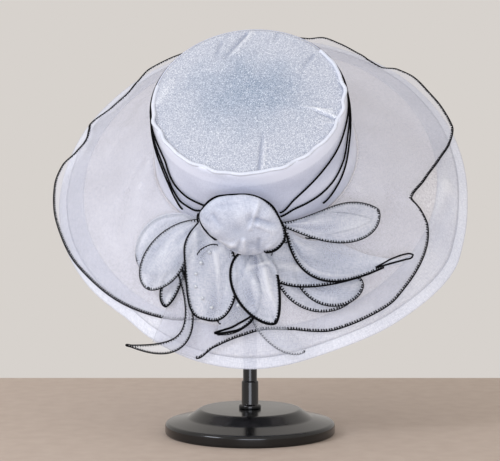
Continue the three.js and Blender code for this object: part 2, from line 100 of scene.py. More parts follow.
# Cloth thickness in millimetres
SHEER = 0.35
STIFF = 0.6
HEM_THICKNESS = 1.3

# In metres: drawn thread spacing, relief of the weave and of a thread's twist, and welding reach
THREAD_GAP = 0.0011
BUMP = 0.0005
TWIST = 0.0003
WELD = 1e-6

# Overlocked edges: cord radii, and stitches that slant by chance and lie over the cloth
CORD_RADIUS = 0.5
OVERLAY_CORD = 0.6
SASH_CORD = 0.85
PUFF_CORD = 0.95
CORD_SIDES = 7
STITCH_SPACING = 2.5
STITCH_LENGTH = 3.3
STITCH_WIDTH = 1.65
STITCH_SLANT = 0.25
STITCH_INSET = 0.66
SASH_STITCH = 1.8
CURL_STITCH = 1.6
CURL_STITCH_WIDTH = 1.0

# Stand
BASE_RADIUS = 79
BASE_EDGE_HEIGHT = 11
BASE_DISC_RADIUS = 48
BASE_HEIGHT = 23
SLEEVE_RADIUS = 7.8
SLEEVE_HEIGHT = 22
COLLAR_RADIUS = 10.3
COLLAR_HEIGHT = 4
POLE_RADIUS = 6.5
HEAD_RADIUS = 60
HEAD_GAP = 0.6
HEAD_FLOOR = 67
HEAD_EDGE = 73

# Angle and radius of the brim's edge, 0 to the right and -90 to the front
BRIM_EDGE = [
    (-180, 198), (-148, 194), (-132, 191), (-122, 195), (-107, 200), (-93, 202), (-72, 199),
    (-51, 202), (-29, 207), (-20, 204), (-5, 200), (15, 199), (60, 200), (120, 200), (180, 198),
]

# Angle and radius of the overlay's ruffled edge, and its rise over the brim
OVERLAY_EDGE = [
    (-120, 199, 5.5), (-107, 200.5, 5.2), (-103, 190, 5), (-95.5, 179, 4.5), (-88, 174, 4),
    (-81, 176, 3), (-75, 181, 3), (-70, 185, 3), (-64, 187, 4), (-58, 188, 4), (-51, 189, 4),
    (-44.5, 187, 5), (-37, 184, 5), (-30, 180, 6), (-24, 173, 8), (-20.5, 162, 10),
    (-19, 152.5, 12), (-8, 160, 8), (3, 175, 8), (11, 190, 8), (17, 199, 13), (24, 200, 13),
    (32, 202, 10), (40, 206, 8), (45, 200, 8), (49, 190.5, 4), (54, 193, 3), (58, 197, 4),
    (65, 197, 10), (70, 199, 12), (75, 196, 8), (84, 196, 7), (98, 198, 12), (110, 197, 7),
    (119, 195, 9), (125, 195, 9), (132, 188, 6), (139, 180, 6), (145, 182, 6), (153, 192, 8),
    (156, 187, 10), (160, 184, 8), (166, 188, 12), (170, 198, 14), (176, 203, 12), (184, 202, 10),
    (194, 198, 6), (202, 195, 4), (212, 190, 3.5), (225, 185, 3), (241, 177, 2.6),
    (256, 168, 2.4),
]

# Angle and height over the brim where the overlay starts, at the crown
OVERLAY_SEAT = [
    (-120, 3), (-103, 3), (-95.5, 2.2), (-88, 1.5), (256, 1.5),
]
OVERLAY_INNER = 97.5
OVERLAY_EDGING_START = -107

# Angle and height of the sash's black edges, from the bow's right side round the back to its left
SASH_CORDS = {
    "sash_cord_upper": [
        (-75, 26), (-66, 37), (-56, 45), (-44, 52), (-30, 58), (-12, 67), (15, 72), (90, 73),
        (170, 72), (200, 67), (212, 58), (216, 45), (222, 36), (232, 32), (242, 32),
    ],
    "sash_cord_middle": [
        (-75, 21), (-66, 25), (-53, 25), (-41, 27), (-28, 35), (-15, 53), (5, 65), (90, 68),
        (180, 65), (203, 54), (213, 40), (219, 27), (226, 19), (234, 19), (242, 24),
    ],
    "sash_cord_lower": [
        (-49, 12), (-36, 18), (-26, 27), (-15, 43), (5, 59), (90, 63), (180, 58), (204, 44),
        (214, 30), (220, 18), (226, 10),
    ],
}

# Creases pressed into the tip: start, end, width and depth
TIP_CREASES = [
    ((-2, 82), (-22, 52), 2.6, -1.3), ((3, 83), (-14, 56), 3, 0.8),
    ((-26, 72), (-31, 53), 2.4, -0.7), ((27, 81), (25, 69), 2, -0.7),
    ((81, -27), (60, -16), 1.5, 1.2), ((80, -30), (62, -21), 1.5, -0.9),
    ((80, -34), (67, -33), 1.4, 1.1), ((76, -20), (47, -13), 1.6, 0.8),
    ((60, 50), (49, 31), 2.2, -0.7), ((9, -85), (13, -42), 2, -1.0),
    ((12.5, -85), (16, -48), 2, 0.5), ((45, -80), (63, -60), 3, -0.6),
    ((-83, 3), (-72, 27), 4, 0.6),
]

# Soft creases of the brim round the crown: start, end, width and depth, seen from above
BRIM_CREASES = [
    ((-109, 2), (-123, -25), 4, -1.7), ((-123, -25), (-130, -58), 5, -1.6),
    ((-99, 5), (-110, -26), 4, 1.4), ((-110, -26), (-116, -57), 5, 1.3),
    ((-119, 100), (-138, 47), 7, -1.5), ((-132, 60), (-149, 31), 6, 1.6),
    ((-92, -18), (-98, -47), 4, -1.2), ((-145, -58), (-126, -95), 6, 1.1),
    ((95, -47), (104, -62), 8, 1.6), ((126, -41), (122, -80), 9, -1.6),
    ((179, -13), (170, -56), 7, 1.7), ((180, -30), (160, -84), 6, -1.4),
    ((100, -151), (63, -167), 6, 1.4), ((151, -87), (138, -118), 8, 1.2),
    ((110, 30), (150, 50), 9, -1.3),
]

# Leaves of the bow: where each is gathered on the sash (anchor, an angle), its root, bend and tip
# seen from above, greatest half-widths, half-width at the root, the powers that shape it, its
# lowest and highest place over the brim, and how far it puffs up
LEAVES = {
    "tail_leaf_right": dict(
        anchor=-92, root=(-8, -151), mid=(13, -187), tip=(40, -192), left=6.3, stem=3.5,
        swell=0.62, taper=0.61, low=5.6, high=8, edges="right", tucked=True, thread=0.35,
        stitch=2.0,
    ),
    "tail_leaf_left": dict(
        anchor=-116, root=(-70, -124), mid=(-43, -205), tip=(-124, -173), left=4.1, stem=2.4,
        swell=1.73, taper=1.03, low=8.4, high=12.4, nose=0.7, thread=0.6, stitch=2.2,
    ),
    "small_leaf_left": dict(
        anchor=-112, root=(-64, -107), mid=(-84, -132), tip=(-85, -148), left=7.2, stem=2.4,
        swell=0.72, taper=0.62, low=5.5, high=8, thread=0.8,
    ),
    "curled_leaf_front": dict(
        anchor=-96, root=(-13, -128), mid=(-10, -160), tip=(-38, -178), left=16, right=14,
        stem=3.9, swell=0.7, taper=0.9, low=9.6, high=11, edges="left",
    ),
    "back_loop_left": dict(
        anchor=-123.5, root=(-55, -83), mid=(-86, -98), tip=(-112, -103), left=22.6, stem=2.8,
        swell=0.69, taper=0.53, low=10.6, high=11.5, crown=0.5, tucked=True,
    ),
    "front_loop_left": dict(
        anchor=-119.5, root=(-49, -87), mid=(-84, -103), tip=(-100, -135), left=18.6, stem=3.1,
        swell=1.01, taper=0.56, low=13.6, high=16, crown=3,
    ),
    "round_petal_right": dict(
        anchor=-84, root=(19, -131), mid=(48, -153), tip=(93, -131), left=17.6, stem=3,
        swell=0.87, taper=0.59, low=5.8, high=7.5,
    ),
    "inner_petal_right": dict(
        anchor=-79, root=(40, -121), mid=(55, -152), tip=(95, -135), left=15, stem=3, swell=0.55,
        taper=0.5, low=9, high=10.5,
    ),
    "under_leaf_right": dict(
        anchor=-86, root=(14, -125), mid=(80, -136), tip=(133, -113), left=13.9, stem=4.5,
        swell=0.35, taper=1.45, low=12.4, high=14.5, edges="right", thread=0.75, edge_to=0.72,
    ),
    "long_leaf_right": dict(
        anchor=-76, root=(32, -104), mid=(48, -164), tip=(140, -109), left=33.9, right=5.3,
        stem=3.3, swell=1.31, taper=1.8, low=15.6, high=18, crown=1, edges="right", thread=0.95,
        nose=0.6, edge_to=0.85,
    ),
    "loop_right": dict(
        anchor=-77, root=(26, -98), mid=(78, -104), tip=(113, -76), left=15.6, stem=2, swell=1.26,
        taper=0.69, low=19, high=22, crown=3,
    ),
    "beaded_petal": dict(
        anchor=-121, root=(-49, -88), mid=(-29, -114), tip=(-50, -170), left=23.4, stem=2.3,
        swell=0.29, swell_left=1.2, taper=0.35, low=17.4, high=22, crown=4, thread=0.85,
        creases=[
            ((0.3, 0.85), (0.5, 0.2), 2.6, 1.9), ((0.42, 0.95), (0.62, 0.4), 2.2, -1.6),
            ((0.5, 0.15), (0.85, 0.4), 2.6, 1.7), ((0.6, 0.9), (0.8, 0.6), 2.2, 1.5),
            ((0.2, 0.1), (0.4, 0.4), 3, -1.4), ((0.1, -0.4), (0.6, -0.75), 3, 0.9),
        ],
    ),
    "front_petal": dict(
        anchor=-94, root=(-3, -121), mid=(-6, -146), tip=(16, -182), left=18.6, right=19.2,
        stem=2.8, swell=0.5, taper=0.63, low=21, high=31, crown=4, shoulder=14, thread=1.25,
        edge_from=(0.5, 0.02),
        creases=[
            ((0.24, 0.7), (0.3, -0.3), 2.2, 1.9), ((0.36, 0.5), (0.85, 0.35), 2.6, 1.2),
            ((0.24, 0.24), (0.75, 0.04), 1.1, -1.3), ((0.02, 0), (0.35, -0.45), 2.6, -1.5),
            ((0.02, 0.5), (0.3, 0.8), 2.4, 1.6), ((0.1, 0.2), (0.24, 0.3), 2, -1.5),
            ((0.5, -0.1), (0.8, -0.35), 3, 1),
        ],
    ),
}
NOSE_RADIUS = 1.9
TURNED_UNDER = 1.4
LEAF_ROWS = 72
LEAF_COLUMNS = 28

# The puffed centre of the bow, on a plane that faces up and forward: angle and reach of its rim
PUFF_CENTRE = np.array((-8, -116.4, 39.6))
PUFF_ACROSS = np.array((1, 0, 0))
PUFF_UP = np.array((0, 0.425, 0.905))
PUFF_OUT = np.array((0, -0.905, 0.425))
PUFF_HEIGHT = 11.5
PUFF_EDGE = [
    (-180, 36), (-169, 31), (-157, 25.5), (-139, 24), (-120, 24.5), (-100, 25.5), (-82, 27),
    (-57, 30), (-52, 32), (-43, 35), (-32, 37.5), (-20, 38.5), (-6, 36), (8, 34), (24, 33), (40, 33),
    (64, 34), (95, 34), (110, 36), (122, 38), (132, 39), (145, 40), (153, 41), (162, 40), (170, 38),
    (180, 36),
]
# Its dents, which are a place, width and depth, and its creases: start, end, width and depth
PUFF_DENTS = [
    ((9, 13), 5, -3.2), ((0, 18), 8, 1.6), ((-4, 4), 6, -1.6), ((-24, 2), 6, 1.4),
    ((24, -6), 6, 1.6), ((8, -12), 4, -2), ((-12, -10), 6, 1.5), ((26, 16), 5, 1.2),
]
PUFF_CREASES = [
    ((19, 34), (7, 5), 2.6, 2.6), ((13.5, 12.4), (33, 3.7), 2.4, -2.0),
    ((14, 7.6), (32, -3), 2.8, 1.7), ((-36, 17), (-28, 11.7), 2, -1.4),
    ((-24, 17.8), (-19.7, 9.9), 3, -1.5), ((-23, -8.6), (-8, -12.3), 3.2, 2),
    ((-17, -15.8), (-0.4, -22.7), 2.4, -1.8), ((0.8, -6.3), (0.9, -25.8), 2.6, 1.8),
    ((14.3, -7), (11, -26.4), 2.4, -1.7), ((20.4, -17.2), (31.2, -8), 3, 1.3),
    ((-5.6, 34.5), (2, 26.5), 3, 1.0), ((-20, 26), (-2, 28), 3, -1.0),
]

# Its black edge, from lower right over the top to lower left: across, up and out from the plane
PUFF_EDGING = [
    (18.8, -22, 9.2), (25.2, -21.7, 8.2), (30.5, -18.8, 7.2), (34.9, -14.2, 4.6), (37.3, -6.5, 3),
    (36.2, 0.5, 2), (33.6, 6.5, 1.4), (31.1, 13.8, 1), (27.5, 20.7, 0.8), (19.8, 27.8, 0.8),
    (9.5, 32.6, 0.8), (-3, 33.9, 0.8), (-12.3, 33.8, 0.8), (-20.5, 32.9, 0.8), (-27, 29.4, 0.8),
    (-33.3, 22.6, 0.8), (-37.3, 15.3, 1.6), (-36.6, 10, 3.6), (-34, 4, 6), (-30.1, -1.2, 7.6),
    (-24.7, -6.9, 8.4),
]
STEM_RADIUS = 7
STEM_THICKNESS = 0.8
STEM_BACK = -23.1

# Black edges of tips that curl over and of small loops, seen from above: places, height over the
# brim and cord radius
CURLED_EDGES = {
    "curled_tip_upper_thread": (
        [(-40.4, -177.2), (-33.4, -176.1), (-24.2, -174.4), (-16.8, -171.6), (-10.7, -169.2),
         (-3.2, -165.3)],
        12.2, 1.0, 8),
    "curled_tip_lower_thread": (
        [(-40.5, -177.1), (-34.5, -177.8), (-26.3, -177.5), (-18.0, -176.4), (-7.8, -171.5),
         (-2.5, -166.2)],
        11.4, 1.15, 8),
    "curled_leaf_corner_thread": ([(-40.5, -165.6), (-38, -167.9), (-35, -171)], 12, 0.5, 3),
    "long_leaf_tip_thread": (
        [(107.7, -125.5), (113.3, -121.8), (120.4, -116.9), (127.3, -112.9), (133.8, -109.6),
         (139.3, -107.7), (142.0, -107.9), (141, -110.3), (134.4, -113.9), (125.6, -118),
         (116.9, -121.8), (107.6, -126.1)], 18.4, 0.8, 10),
    "inner_loop_thread": (
        [(-33, -116), (-38.5, -115), (-44, -116), (-49, -118), (-52, -121)], 27, 0.5, 8),
    "loop_fold_thread": (
        [(43.2, -96.1), (52.6, -90.3), (62.4, -85.8), (82.3, -83.2), (95.8, -83.1), (105.3, -84.6),
         (98, -91.1), (87.9, -96.4), (77, -100.6), (63.5, -104.7)], 18.8, 0.4, 12),
    "leaf_end_thread": ([(46, -109), (55, -109)], 19.5, 0.6, 3),
}

# Clear beads sewn in a bow-shaped line on the beaded petal, seen from above
BEADS = [(-41, -120), (-49, -127), (-54, -135), (-55, -145), (-49, -155), (-41, -163), (-17, -163)]
BEAD_RADIUS = 1.75


def linear(hex_colour):
    """An sRGB hex colour as linear red, green, blue and a full alpha."""
    channels = [int(hex_colour[i:i + 2], 16) / 255 for i in (1, 3, 5)]
    return [c / 12.92 if c <= 0.04045 else ((c + 0.055) / 1.055) ** 2.4 for c in channels] + [1]


# Tables and curves


def hermite(x, y, slope, at):
    """A smooth curve through the values y at places x, with a slope given at each."""
    i = np.clip(np.searchsorted(x, at, side="right") - 1, 0, len(x) - 2)
    span = x[i + 1] - x[i]
    t = (at - x[i]) / span
    if y.ndim > 1:
        span, t = span[:, None], t[:, None]
    return ((2 * t**3 - 3 * t**2 + 1) * y[i] + (t**3 - 2 * t**2 + t) * span * slope[i]
            + (3 * t**2 - 2 * t**3) * y[i + 1] + (t**3 - t**2) * span * slope[i + 1])


def follow(rows, at, column=1):
    """A smooth value of one column of a table, which never swings past its rows."""
    x, y = (np.array([row[c] for row in rows], float) for c in (0, column))
    chord = np.diff(y) / np.diff(x)
    slope = np.zeros_like(y)
    same = chord[:-1] * chord[1:] > 0
    slope[1:-1][same] = 2 * chord[:-1][same] * chord[1:][same] / (chord[:-1] + chord[1:])[same]
    return hermite(x, y, slope, np.clip(np.asarray(at, float), x[0], x[-1]))


def smooth_line(places, count):
    """Points at even steps along a smooth line through places."""
    places = np.array(places, float)
    steps = np.linalg.norm(np.diff(places, axis=0), axis=1)
    along = np.concatenate([[0], np.cumsum(steps)])
    slope = np.gradient(places, along, axis=0)
    return hermite(along, places, slope, np.linspace(0, along[-1], count))


def bezier(a, b, c, t):
    """Places on the curve that b bends between a and c, and its headings there."""
    t = t[:, None]
    places = (1 - t)**2 * a + 2 * t * (1 - t) * b + t**2 * c
    return places, unit((1 - t) * (b - a) + t * (c - b))


def ring_angles(count):
    return np.arange(count) * 360 / count


def wrapped(angle):
    """Angles brought into the range from -180 to 180."""
    return (np.asarray(angle, float) + 180) % 360 - 180


def blend_to(a, b, share):
    return a + (b - a) * share


def brim_height(radius):
    share = np.maximum(radius - BAND_RADIUS_BASE, 0) / (BRIM_RADIUS - BAND_RADIUS_BASE)
    return -BRIM_DROP * share**BRIM_CURVE


def band_radius(height):
    """Outer radius of the sash at a height above the brim."""
    return BAND_RADIUS_BASE + (BAND_RADIUS_TOP - BAND_RADIUS_BASE) * height / CROWN_HEIGHT


def polar(radius, angle, height):
    radius, turn, height = np.broadcast_arrays(radius, np.radians(angle), height)
    return np.stack([radius * np.cos(turn), radius * np.sin(turn), height], axis=-1)


def unit(vectors):
    return vectors / np.maximum(np.linalg.norm(vectors, axis=-1, keepdims=True), 1e-9)


def hat_to_row(points):
    """Hat millimetres, crown upright, to metres in the row frame."""
    place = np.array(HAT_PLACE)
    return np.asarray(points, float) * MM @ place[:3, :3].T + place[:3, 3]


def crease_depth(across, up, creases):
    """How far pressed creases lift or sink a cloth, at places across and up it."""
    depth = np.zeros(np.broadcast(across, up).shape)
    for (ax, ay), (bx, by), width, amount in creases:
        line = np.array((bx - ax, by - ay), float)
        t = np.clip(((across - ax) * line[0] + (up - ay) * line[1]) / (line @ line), 0, 1)
        away = np.hypot(across - ax - t * line[0], up - ay - t * line[1])
        depth += amount * (1 - 0.6 * t) * np.exp(-(away / width)**2) * np.cos(1.2 * away / width)
    return depth


# Meshes


def grid_normals(grid, ring):
    """Unit normals of a grid of points, with its first axis closed where ring is set."""
    if ring:
        along = np.roll(grid, -1, axis=0) - np.roll(grid, 1, axis=0)
    else:
        along = np.gradient(grid, axis=0)
    return unit(np.cross(along, np.gradient(grid, axis=1)))


def show(name, data):
    """A new object in the scene, with its data."""
    piece = bpy.data.objects.new(name, data)
    bpy.context.scene.collection.objects.link(piece)
    return piece


def mesh_object(name, vertices, faces, uvs=None, smooth=True):
    """A mesh in the row frame. uvs, if given, are one pair for each vertex, in metres."""
    mesh = bpy.data.meshes.new(name)
    mesh.from_pydata([tuple(v) for v in vertices], [], [tuple(f) for f in faces])
    if uvs is not None:
        layer = mesh.uv_layers.new(name="cloth")
        corner = np.zeros(len(mesh.loops), np.int32)
        mesh.loops.foreach_get("vertex_index", corner)
        layer.data.foreach_set("uv", np.asarray(uvs, np.float32)[corner].ravel())
    mesh.polygons.foreach_set("use_smooth", [smooth] * len(mesh.polygons))
    mesh.validate()
    mesh.update()
    return show(name, mesh)


def cloth(name, grid, thickness, ring=False, pole=False, fold=None):
    """A closed sheet over a grid of hat points, thickened along its normals.

    ring joins the grid's first row to its last. pole says that all its first column is one point.
    The sheet's UV map is in metres along and across the cloth. The fold value, from -1 in the bottom
    of a crease to 1 on its ridge, is kept for the cloth's material, which paints shade and highlight
    with it."""
    rows, columns = grid.shape[:2]
    normals = grid_normals(grid, ring)
    if pole:
        normals[:, 0] = unit(normals[:, 1].mean(axis=0))
    offset = normals * thickness / 2
    vertices = np.concatenate([(grid + offset).reshape(-1, 3), (grid - offset).reshape(-1, 3)])
    end, last = rows - 1, columns - 1

    def at(i, j, below=0):
        return (i % rows + below * rows) * columns + j

    faces = []
    for i in range(rows if ring else end):
        for j in range(last):
            faces.append((at(i, j), at(i + 1, j), at(i + 1, j + 1), at(i, j + 1)))
            faces.append((at(i, j + 1, 1), at(i + 1, j + 1, 1), at(i + 1, j, 1), at(i, j, 1)))
        if not pole:
            faces.append((at(i + 1, 0), at(i, 0), at(i, 0, 1), at(i + 1, 0, 1)))
        faces.append((at(i, last), at(i + 1, last), at(i + 1, last, 1), at(i, last, 1)))
    if not ring:
        for j in range(last):
            faces.append((at(0, j), at(0, j + 1), at(0, j + 1, 1), at(0, j, 1)))
            faces.append((at(end, j + 1), at(end, j), at(end, j, 1), at(end, j + 1, 1)))
    lengths = np.linalg.norm(np.diff(grid[:, columns // 2], axis=0), axis=1)
    widths = np.linalg.norm(np.diff(grid, axis=1), axis=2)
    along = np.concatenate([[0], np.cumsum(lengths)])[:, None]
    across = np.pad(np.cumsum(widths, axis=1), ((0, 0), (1, 0)))
    across -= across[:, -1:] / 2
    uv = np.stack([np.broadcast_to(along, across.shape), across], axis=-1).reshape(-1, 2) * MM
    piece = mesh_object(name, hat_to_row(vertices), faces, np.tile(uv, (2, 1)))
    if fold is not None:
        layer = piece.data.attributes.new("fold", "FLOAT", "POINT")
        fold = np.clip(np.broadcast_to(fold, (rows, columns)), -1, 1)
        layer.data.foreach_set("value", np.tile(fold.ravel(), 2).astype(np.float32))
    if pole:
        form = bmesh.new()
        form.from_mesh(piece.data)
        bmesh.ops.remove_doubles(form, verts=form.verts, dist=WELD)
        form.to_mesh(piece.data)
        form.free()
    return piece


def turned(name, profile, segments, on_hat=False):
    """A solid turned about +Z from pairs of radius and height in millimetres, which start and end
    on the axis. With on_hat, that is the axis of the tilted crown."""
    angles = np.arange(segments) * TAU / segments
    vertices = [(r * math.cos(a), r * math.sin(a), z) for r, z in profile[1:-1] for a in angles]
    bottom = len(vertices)
    last = bottom - segments
    vertices += [(0, 0, profile[0][1]), (0, 0, profile[-1][1])]
    faces = []
    for i in range(segments):
        j = (i + 1) % segments
        for a in range(0, last, segments):
            faces.append((a + i, a + j, a + segments + j, a + segments + i))
        faces.append((bottom, j, i))
        faces.append((bottom + 1, last + i, last + j))
    points = np.array(vertices)
    return mesh_object(name, hat_to_row(points) if on_hat else points * MM, faces)


def rounded(corners, radius, steps=5):
    """A profile whose inner corners are rounded, from pairs of radius and height."""
    points = [Vector(c) for c in corners]
    profile = [corners[0]]
    for before, corner, after in zip(points, points[1:], points[2:]):
        reach = min(radius, (corner - before).length / 2.2, (after - corner).length / 2.2)
        start = corner + (before - corner).normalized() * reach
        end = corner + (after - corner).normalized() * reach
        for k in range(steps + 1):
            t = k / steps
            profile.append(tuple((1 - t)**2 * start + 2 * t * (1 - t) * corner + t**2 * end))
    return profile + [corners[-1]]


# Materials


def add(tree, kind, inputs=None, stops=None, **settings):
    """Adds a node to a tree. Settings go to its properties, or else to its inputs. inputs are
    values or pairs of a node and its output. stops are a ramp's places and colours."""
    node = tree.nodes.new(kind)
    for key, value in settings.items():
        if hasattr(node, key):
            setattr(node, key, value)
        else:
            node.inputs[key.replace("_", " ")].default_value = value
    for key, value in (inputs or {}).items():
        if isinstance(value, tuple):
            tree.links.new(value[0].outputs[value[1]], node.inputs[key])
        else:
            node.inputs[key].default_value = value
    if stops:
        elements = node.color_ramp.elements
        for element, (place, colour) in zip(elements, (stops[0], stops[-1])):
            element.position, element.color = place, linear(colour)
        for place, colour in stops[1:-1]:
            elements.new(place).color = linear(colour)
    return node


def material(name, recipe, *values, **settings):
    """A material whose recipe adds its nodes to a tree and returns its shader node."""
    made = bpy.data.materials.new(name)
    made.use_nodes = True
    tree = made.node_tree
    tree.nodes.clear()
    body = recipe(tree, *values, **settings)
    add(tree, "ShaderNodeOutputMaterial", {"Surface": (body, "BSDF")})
    return made


def organza(tree, light, shade, cover, grain=0.3, mottle=0.12, glint=0.25):
    """Woven organza: fine crisp threads that shimmer, with the ground showing between them.

    cover is the share of the view that one face of the sheet takes, and grain the strength of its
    threads. They are really 0.2 mm apart, and are drawn at THREAD_GAP so that they show."""
    uv = add(tree, "ShaderNodeUVMap", uv_map="cloth")
    threads = []
    for stretch in ((0.25, 1), (1, 0.25)):
        place = add(tree, "ShaderNodeMapping", {"Vector": (uv, "UV")},
                    Scale=(stretch[0] / THREAD_GAP, stretch[1] / THREAD_GAP, 1))
        threads.append(add(tree, "ShaderNodeTexNoise", {"Vector": (place, "Vector")},
                           Scale=1, Detail=1, Roughness=0.5))
    weave = add(tree, "ShaderNodeMath", {0: (threads[0], "Fac"), 1: (threads[1], "Fac")},
                operation="ADD")
    place = add(tree, "ShaderNodeTexCoord")
    cloud = add(tree, "ShaderNodeTexNoise", {"Vector": (place, "Object")},
                Scale=22, Detail=2, Roughness=0.5, Distortion=0.6)
    woven = add(tree, "ShaderNodeMapRange", {"Value": (weave, "Value")},
                From_Min=0.7, From_Max=1.3, To_Min=0.5 - grain / 2, To_Max=0.5 + grain / 2)
    tone = add(tree, "ShaderNodeMapRange", {"Value": (cloud, "Fac")},
               From_Min=0.3, From_Max=0.7, To_Min=-mottle, To_Max=mottle)
    # Painted shade and highlight: the fold attribute darkens the colour in creases and lightens it on
    # ridges, over the random mottle
    fold = add(tree, "ShaderNodeAttribute", attribute_name="fold")
    creased = add(tree, "ShaderNodeMath", {0: (fold, "Fac"), 1: 0.7, 2: (tone, "Result")},
                  operation="MULTIPLY_ADD")
    mixed = add(tree, "ShaderNodeMath", {0: (woven, "Result"), 1: (creased, "Value")},
                operation="ADD", use_clamp=True)
    colour = add(tree, "ShaderNodeValToRGB", {"Fac": (mixed, "Value")}, [(0, shade), (1, light)])
    clear = add(tree, "ShaderNodeMapRange", {"Value": (mixed, "Value")},
                From_Min=0, From_Max=1, To_Min=cover * 0.8, To_Max=min(cover * 1.2, 1))
    relief = add(tree, "ShaderNodeBump", {"Height": (weave, "Value")},
                 Strength=min(grain, 0.5), Distance=BUMP)
    return add(tree, "ShaderNodeBsdfPrincipled",
               {"Base Color": (colour, "Color"), "Alpha": (clear, "Result"),
                "Normal": (relief, "Normal")},
               Roughness=0.4, Sheen_Weight=glint, Sheen_Roughness=0.35, Specular_IOR_Level=0.45)


def glitter_organza(tree):
    """Organza woven with a flat metallised thread: each crossing is coloured as a bright or a dark
    speck, the weave with its glints painted in.

    The shade of the stand's dark head under it is painted on the tip in soft blue-grey."""
    place = add(tree, "ShaderNodeTexCoord")
    to_hat = add(tree, "ShaderNodeMapping", {"Vector": (place, "Object")}, vector_type="TEXTURE",
                 Location=tuple(HAT_CENTRE), Rotation=tuple(HAT_PLACE.to_euler("XYZ")))
    # Painted glints: the bright specks of the metallised weave are lightened in the colour, over its
    # real dark gaps
    cells = add(tree, "ShaderNodeTexVoronoi", {"Vector": (place, "Object")}, Scale=2100)
    fine = add(tree, "ShaderNodeTexNoise", {"Vector": (place, "Object")},
               Scale=950, Detail=1, Roughness=0.6)
    parts = add(tree, "ShaderNodeSeparateColor", {"Color": (cells, "Color")})
    glint = add(tree, "ShaderNodeMath", {0: (parts, "Red"), 1: (fine, "Fac")}, operation="MULTIPLY")
    # Painted shade and highlight of the tip's creases, from the fold attribute
    fold = add(tree, "ShaderNodeAttribute", attribute_name="fold")
    glints_and_crease_shade = add(tree, "ShaderNodeMath", {0: (fold, "Fac"), 1: 0.3, 2: (glint, "Value")},
                operation="MULTIPLY_ADD")
    strength = add(tree, "ShaderNodeMapRange", {"Value": (glints_and_crease_shade, "Value")},
                   From_Min=0.05, From_Max=0.5, To_Min=0, To_Max=1)
    base = add(tree, "ShaderNodeValToRGB", {"Fac": (strength, "Result")},
               [(0, "#9ea5b6"), (0.55, "#c6cbd7"), (1, "#eef1f6")])
    dark = add(tree, "ShaderNodeValToRGB", {"Fac": (strength, "Result")},
               [(0, "#5f7590"), (0.6, "#8ea1ba"), (1, "#e3ebf5")])
    # Painted shade: a soft blue-grey mark where the stand's dark head lies under the tip
    centred = add(tree, "ShaderNodeMapping", {"Vector": (to_hat, "Vector")}, vector_type="POINT",
                  Location=PAINTED_HEAD_SHADE_PLACE)
    squeezed = add(tree, "ShaderNodeMapping", {"Vector": (centred, "Vector")}, Scale=PAINTED_HEAD_SHADE_SCALE)
    away = add(tree, "ShaderNodeVectorMath", {0: (squeezed, "Vector")}, operation="LENGTH")
    cloud = add(tree, "ShaderNodeTexNoise", {"Vector": (place, "Object")}, Scale=30, Detail=2)
    uneven = add(tree, "ShaderNodeMath", {0: (away, "Value"), 1: (cloud, "Fac")}, operation="ADD")
    painted_head_shade = add(tree, "ShaderNodeMapRange", {"Value": (uneven, "Value")}, From_Min=0.4,
                From_Max=1.75, To_Min=0.75, To_Max=0, interpolation_type="SMOOTHERSTEP")
    colour = add(tree, "ShaderNodeMix", {"Factor": (painted_head_shade, "Result"), 6: (base, "Color"),
                                         7: (dark, "Color")}, data_type="RGBA")
    relief = add(tree, "ShaderNodeBump", {"Height": (strength, "Result")},
                 Strength=0.5, Distance=BUMP)
    return add(tree, "ShaderNodeBsdfPrincipled",
               {"Base Color": (colour, 2), "Normal": (relief, "Normal")},
               Roughness=0.32, Metallic=0.08, Sheen_Weight=0.2, Specular_IOR_Level=0.5)


def mottled(tree, scale, detail, stops, relief=0, **surface):
    """A colour that varies with one noise, and the noise's relief if it has any."""
    place = add(tree, "ShaderNodeTexCoord")
    noise = add(tree, "ShaderNodeTexNoise", {"Vector": (place, "Object")}, Scale=scale, Detail=detail)
    colour = add(tree, "ShaderNodeValToRGB", {"Fac": (noise, "Fac")}, stops)
    body = add(tree, "ShaderNodeBsdfPrincipled", {"Base Color": (colour, "Color")}, **surface)
    if relief:
        bump = add(tree, "ShaderNodeBump", {"Height": (noise, "Fac")},
                   Strength=relief, Distance=TWIST)
        tree.links.new(bump.outputs["Normal"], body.inputs["Normal"])
    return body


def black_plastic(tree):
    """Injection-moulded ABS, gloss black: clear reflections with a little dust and haze."""
    place = add(tree, "ShaderNodeTexCoord")
    haze = add(tree, "ShaderNodeTexNoise", {"Vector": (place, "Object")},
               Scale=14, Detail=4, Roughness=0.6)
    dust = add(tree, "ShaderNodeTexVoronoi", {"Vector": (place, "Object")}, Scale=420)
    speck = add(tree, "ShaderNodeMapRange", {"Value": (dust, "Distance")},
                From_Min=0.06, From_Max=0.14, To_Min=1, To_Max=0)
    rough = add(tree, "ShaderNodeMapRange", {"Value": (haze, "Fac")},
                From_Min=0.3, From_Max=0.7, To_Min=0.13, To_Max=0.22)
    colour = add(tree, "ShaderNodeValToRGB", {"Fac": (speck, "Result")},
                 [(0, "#08090b"), (1, "#1d2022")])
    relief = add(tree, "ShaderNodeBump", {"Height": (haze, "Fac")}, Strength=0.04, Distance=0.001)
    return add(tree, "ShaderNodeBsdfPrincipled",
               {"Base Color": (colour, "Color"), "Roughness": (rough, "Result"),
                "Normal": (relief, "Normal")}, IOR=1.53)


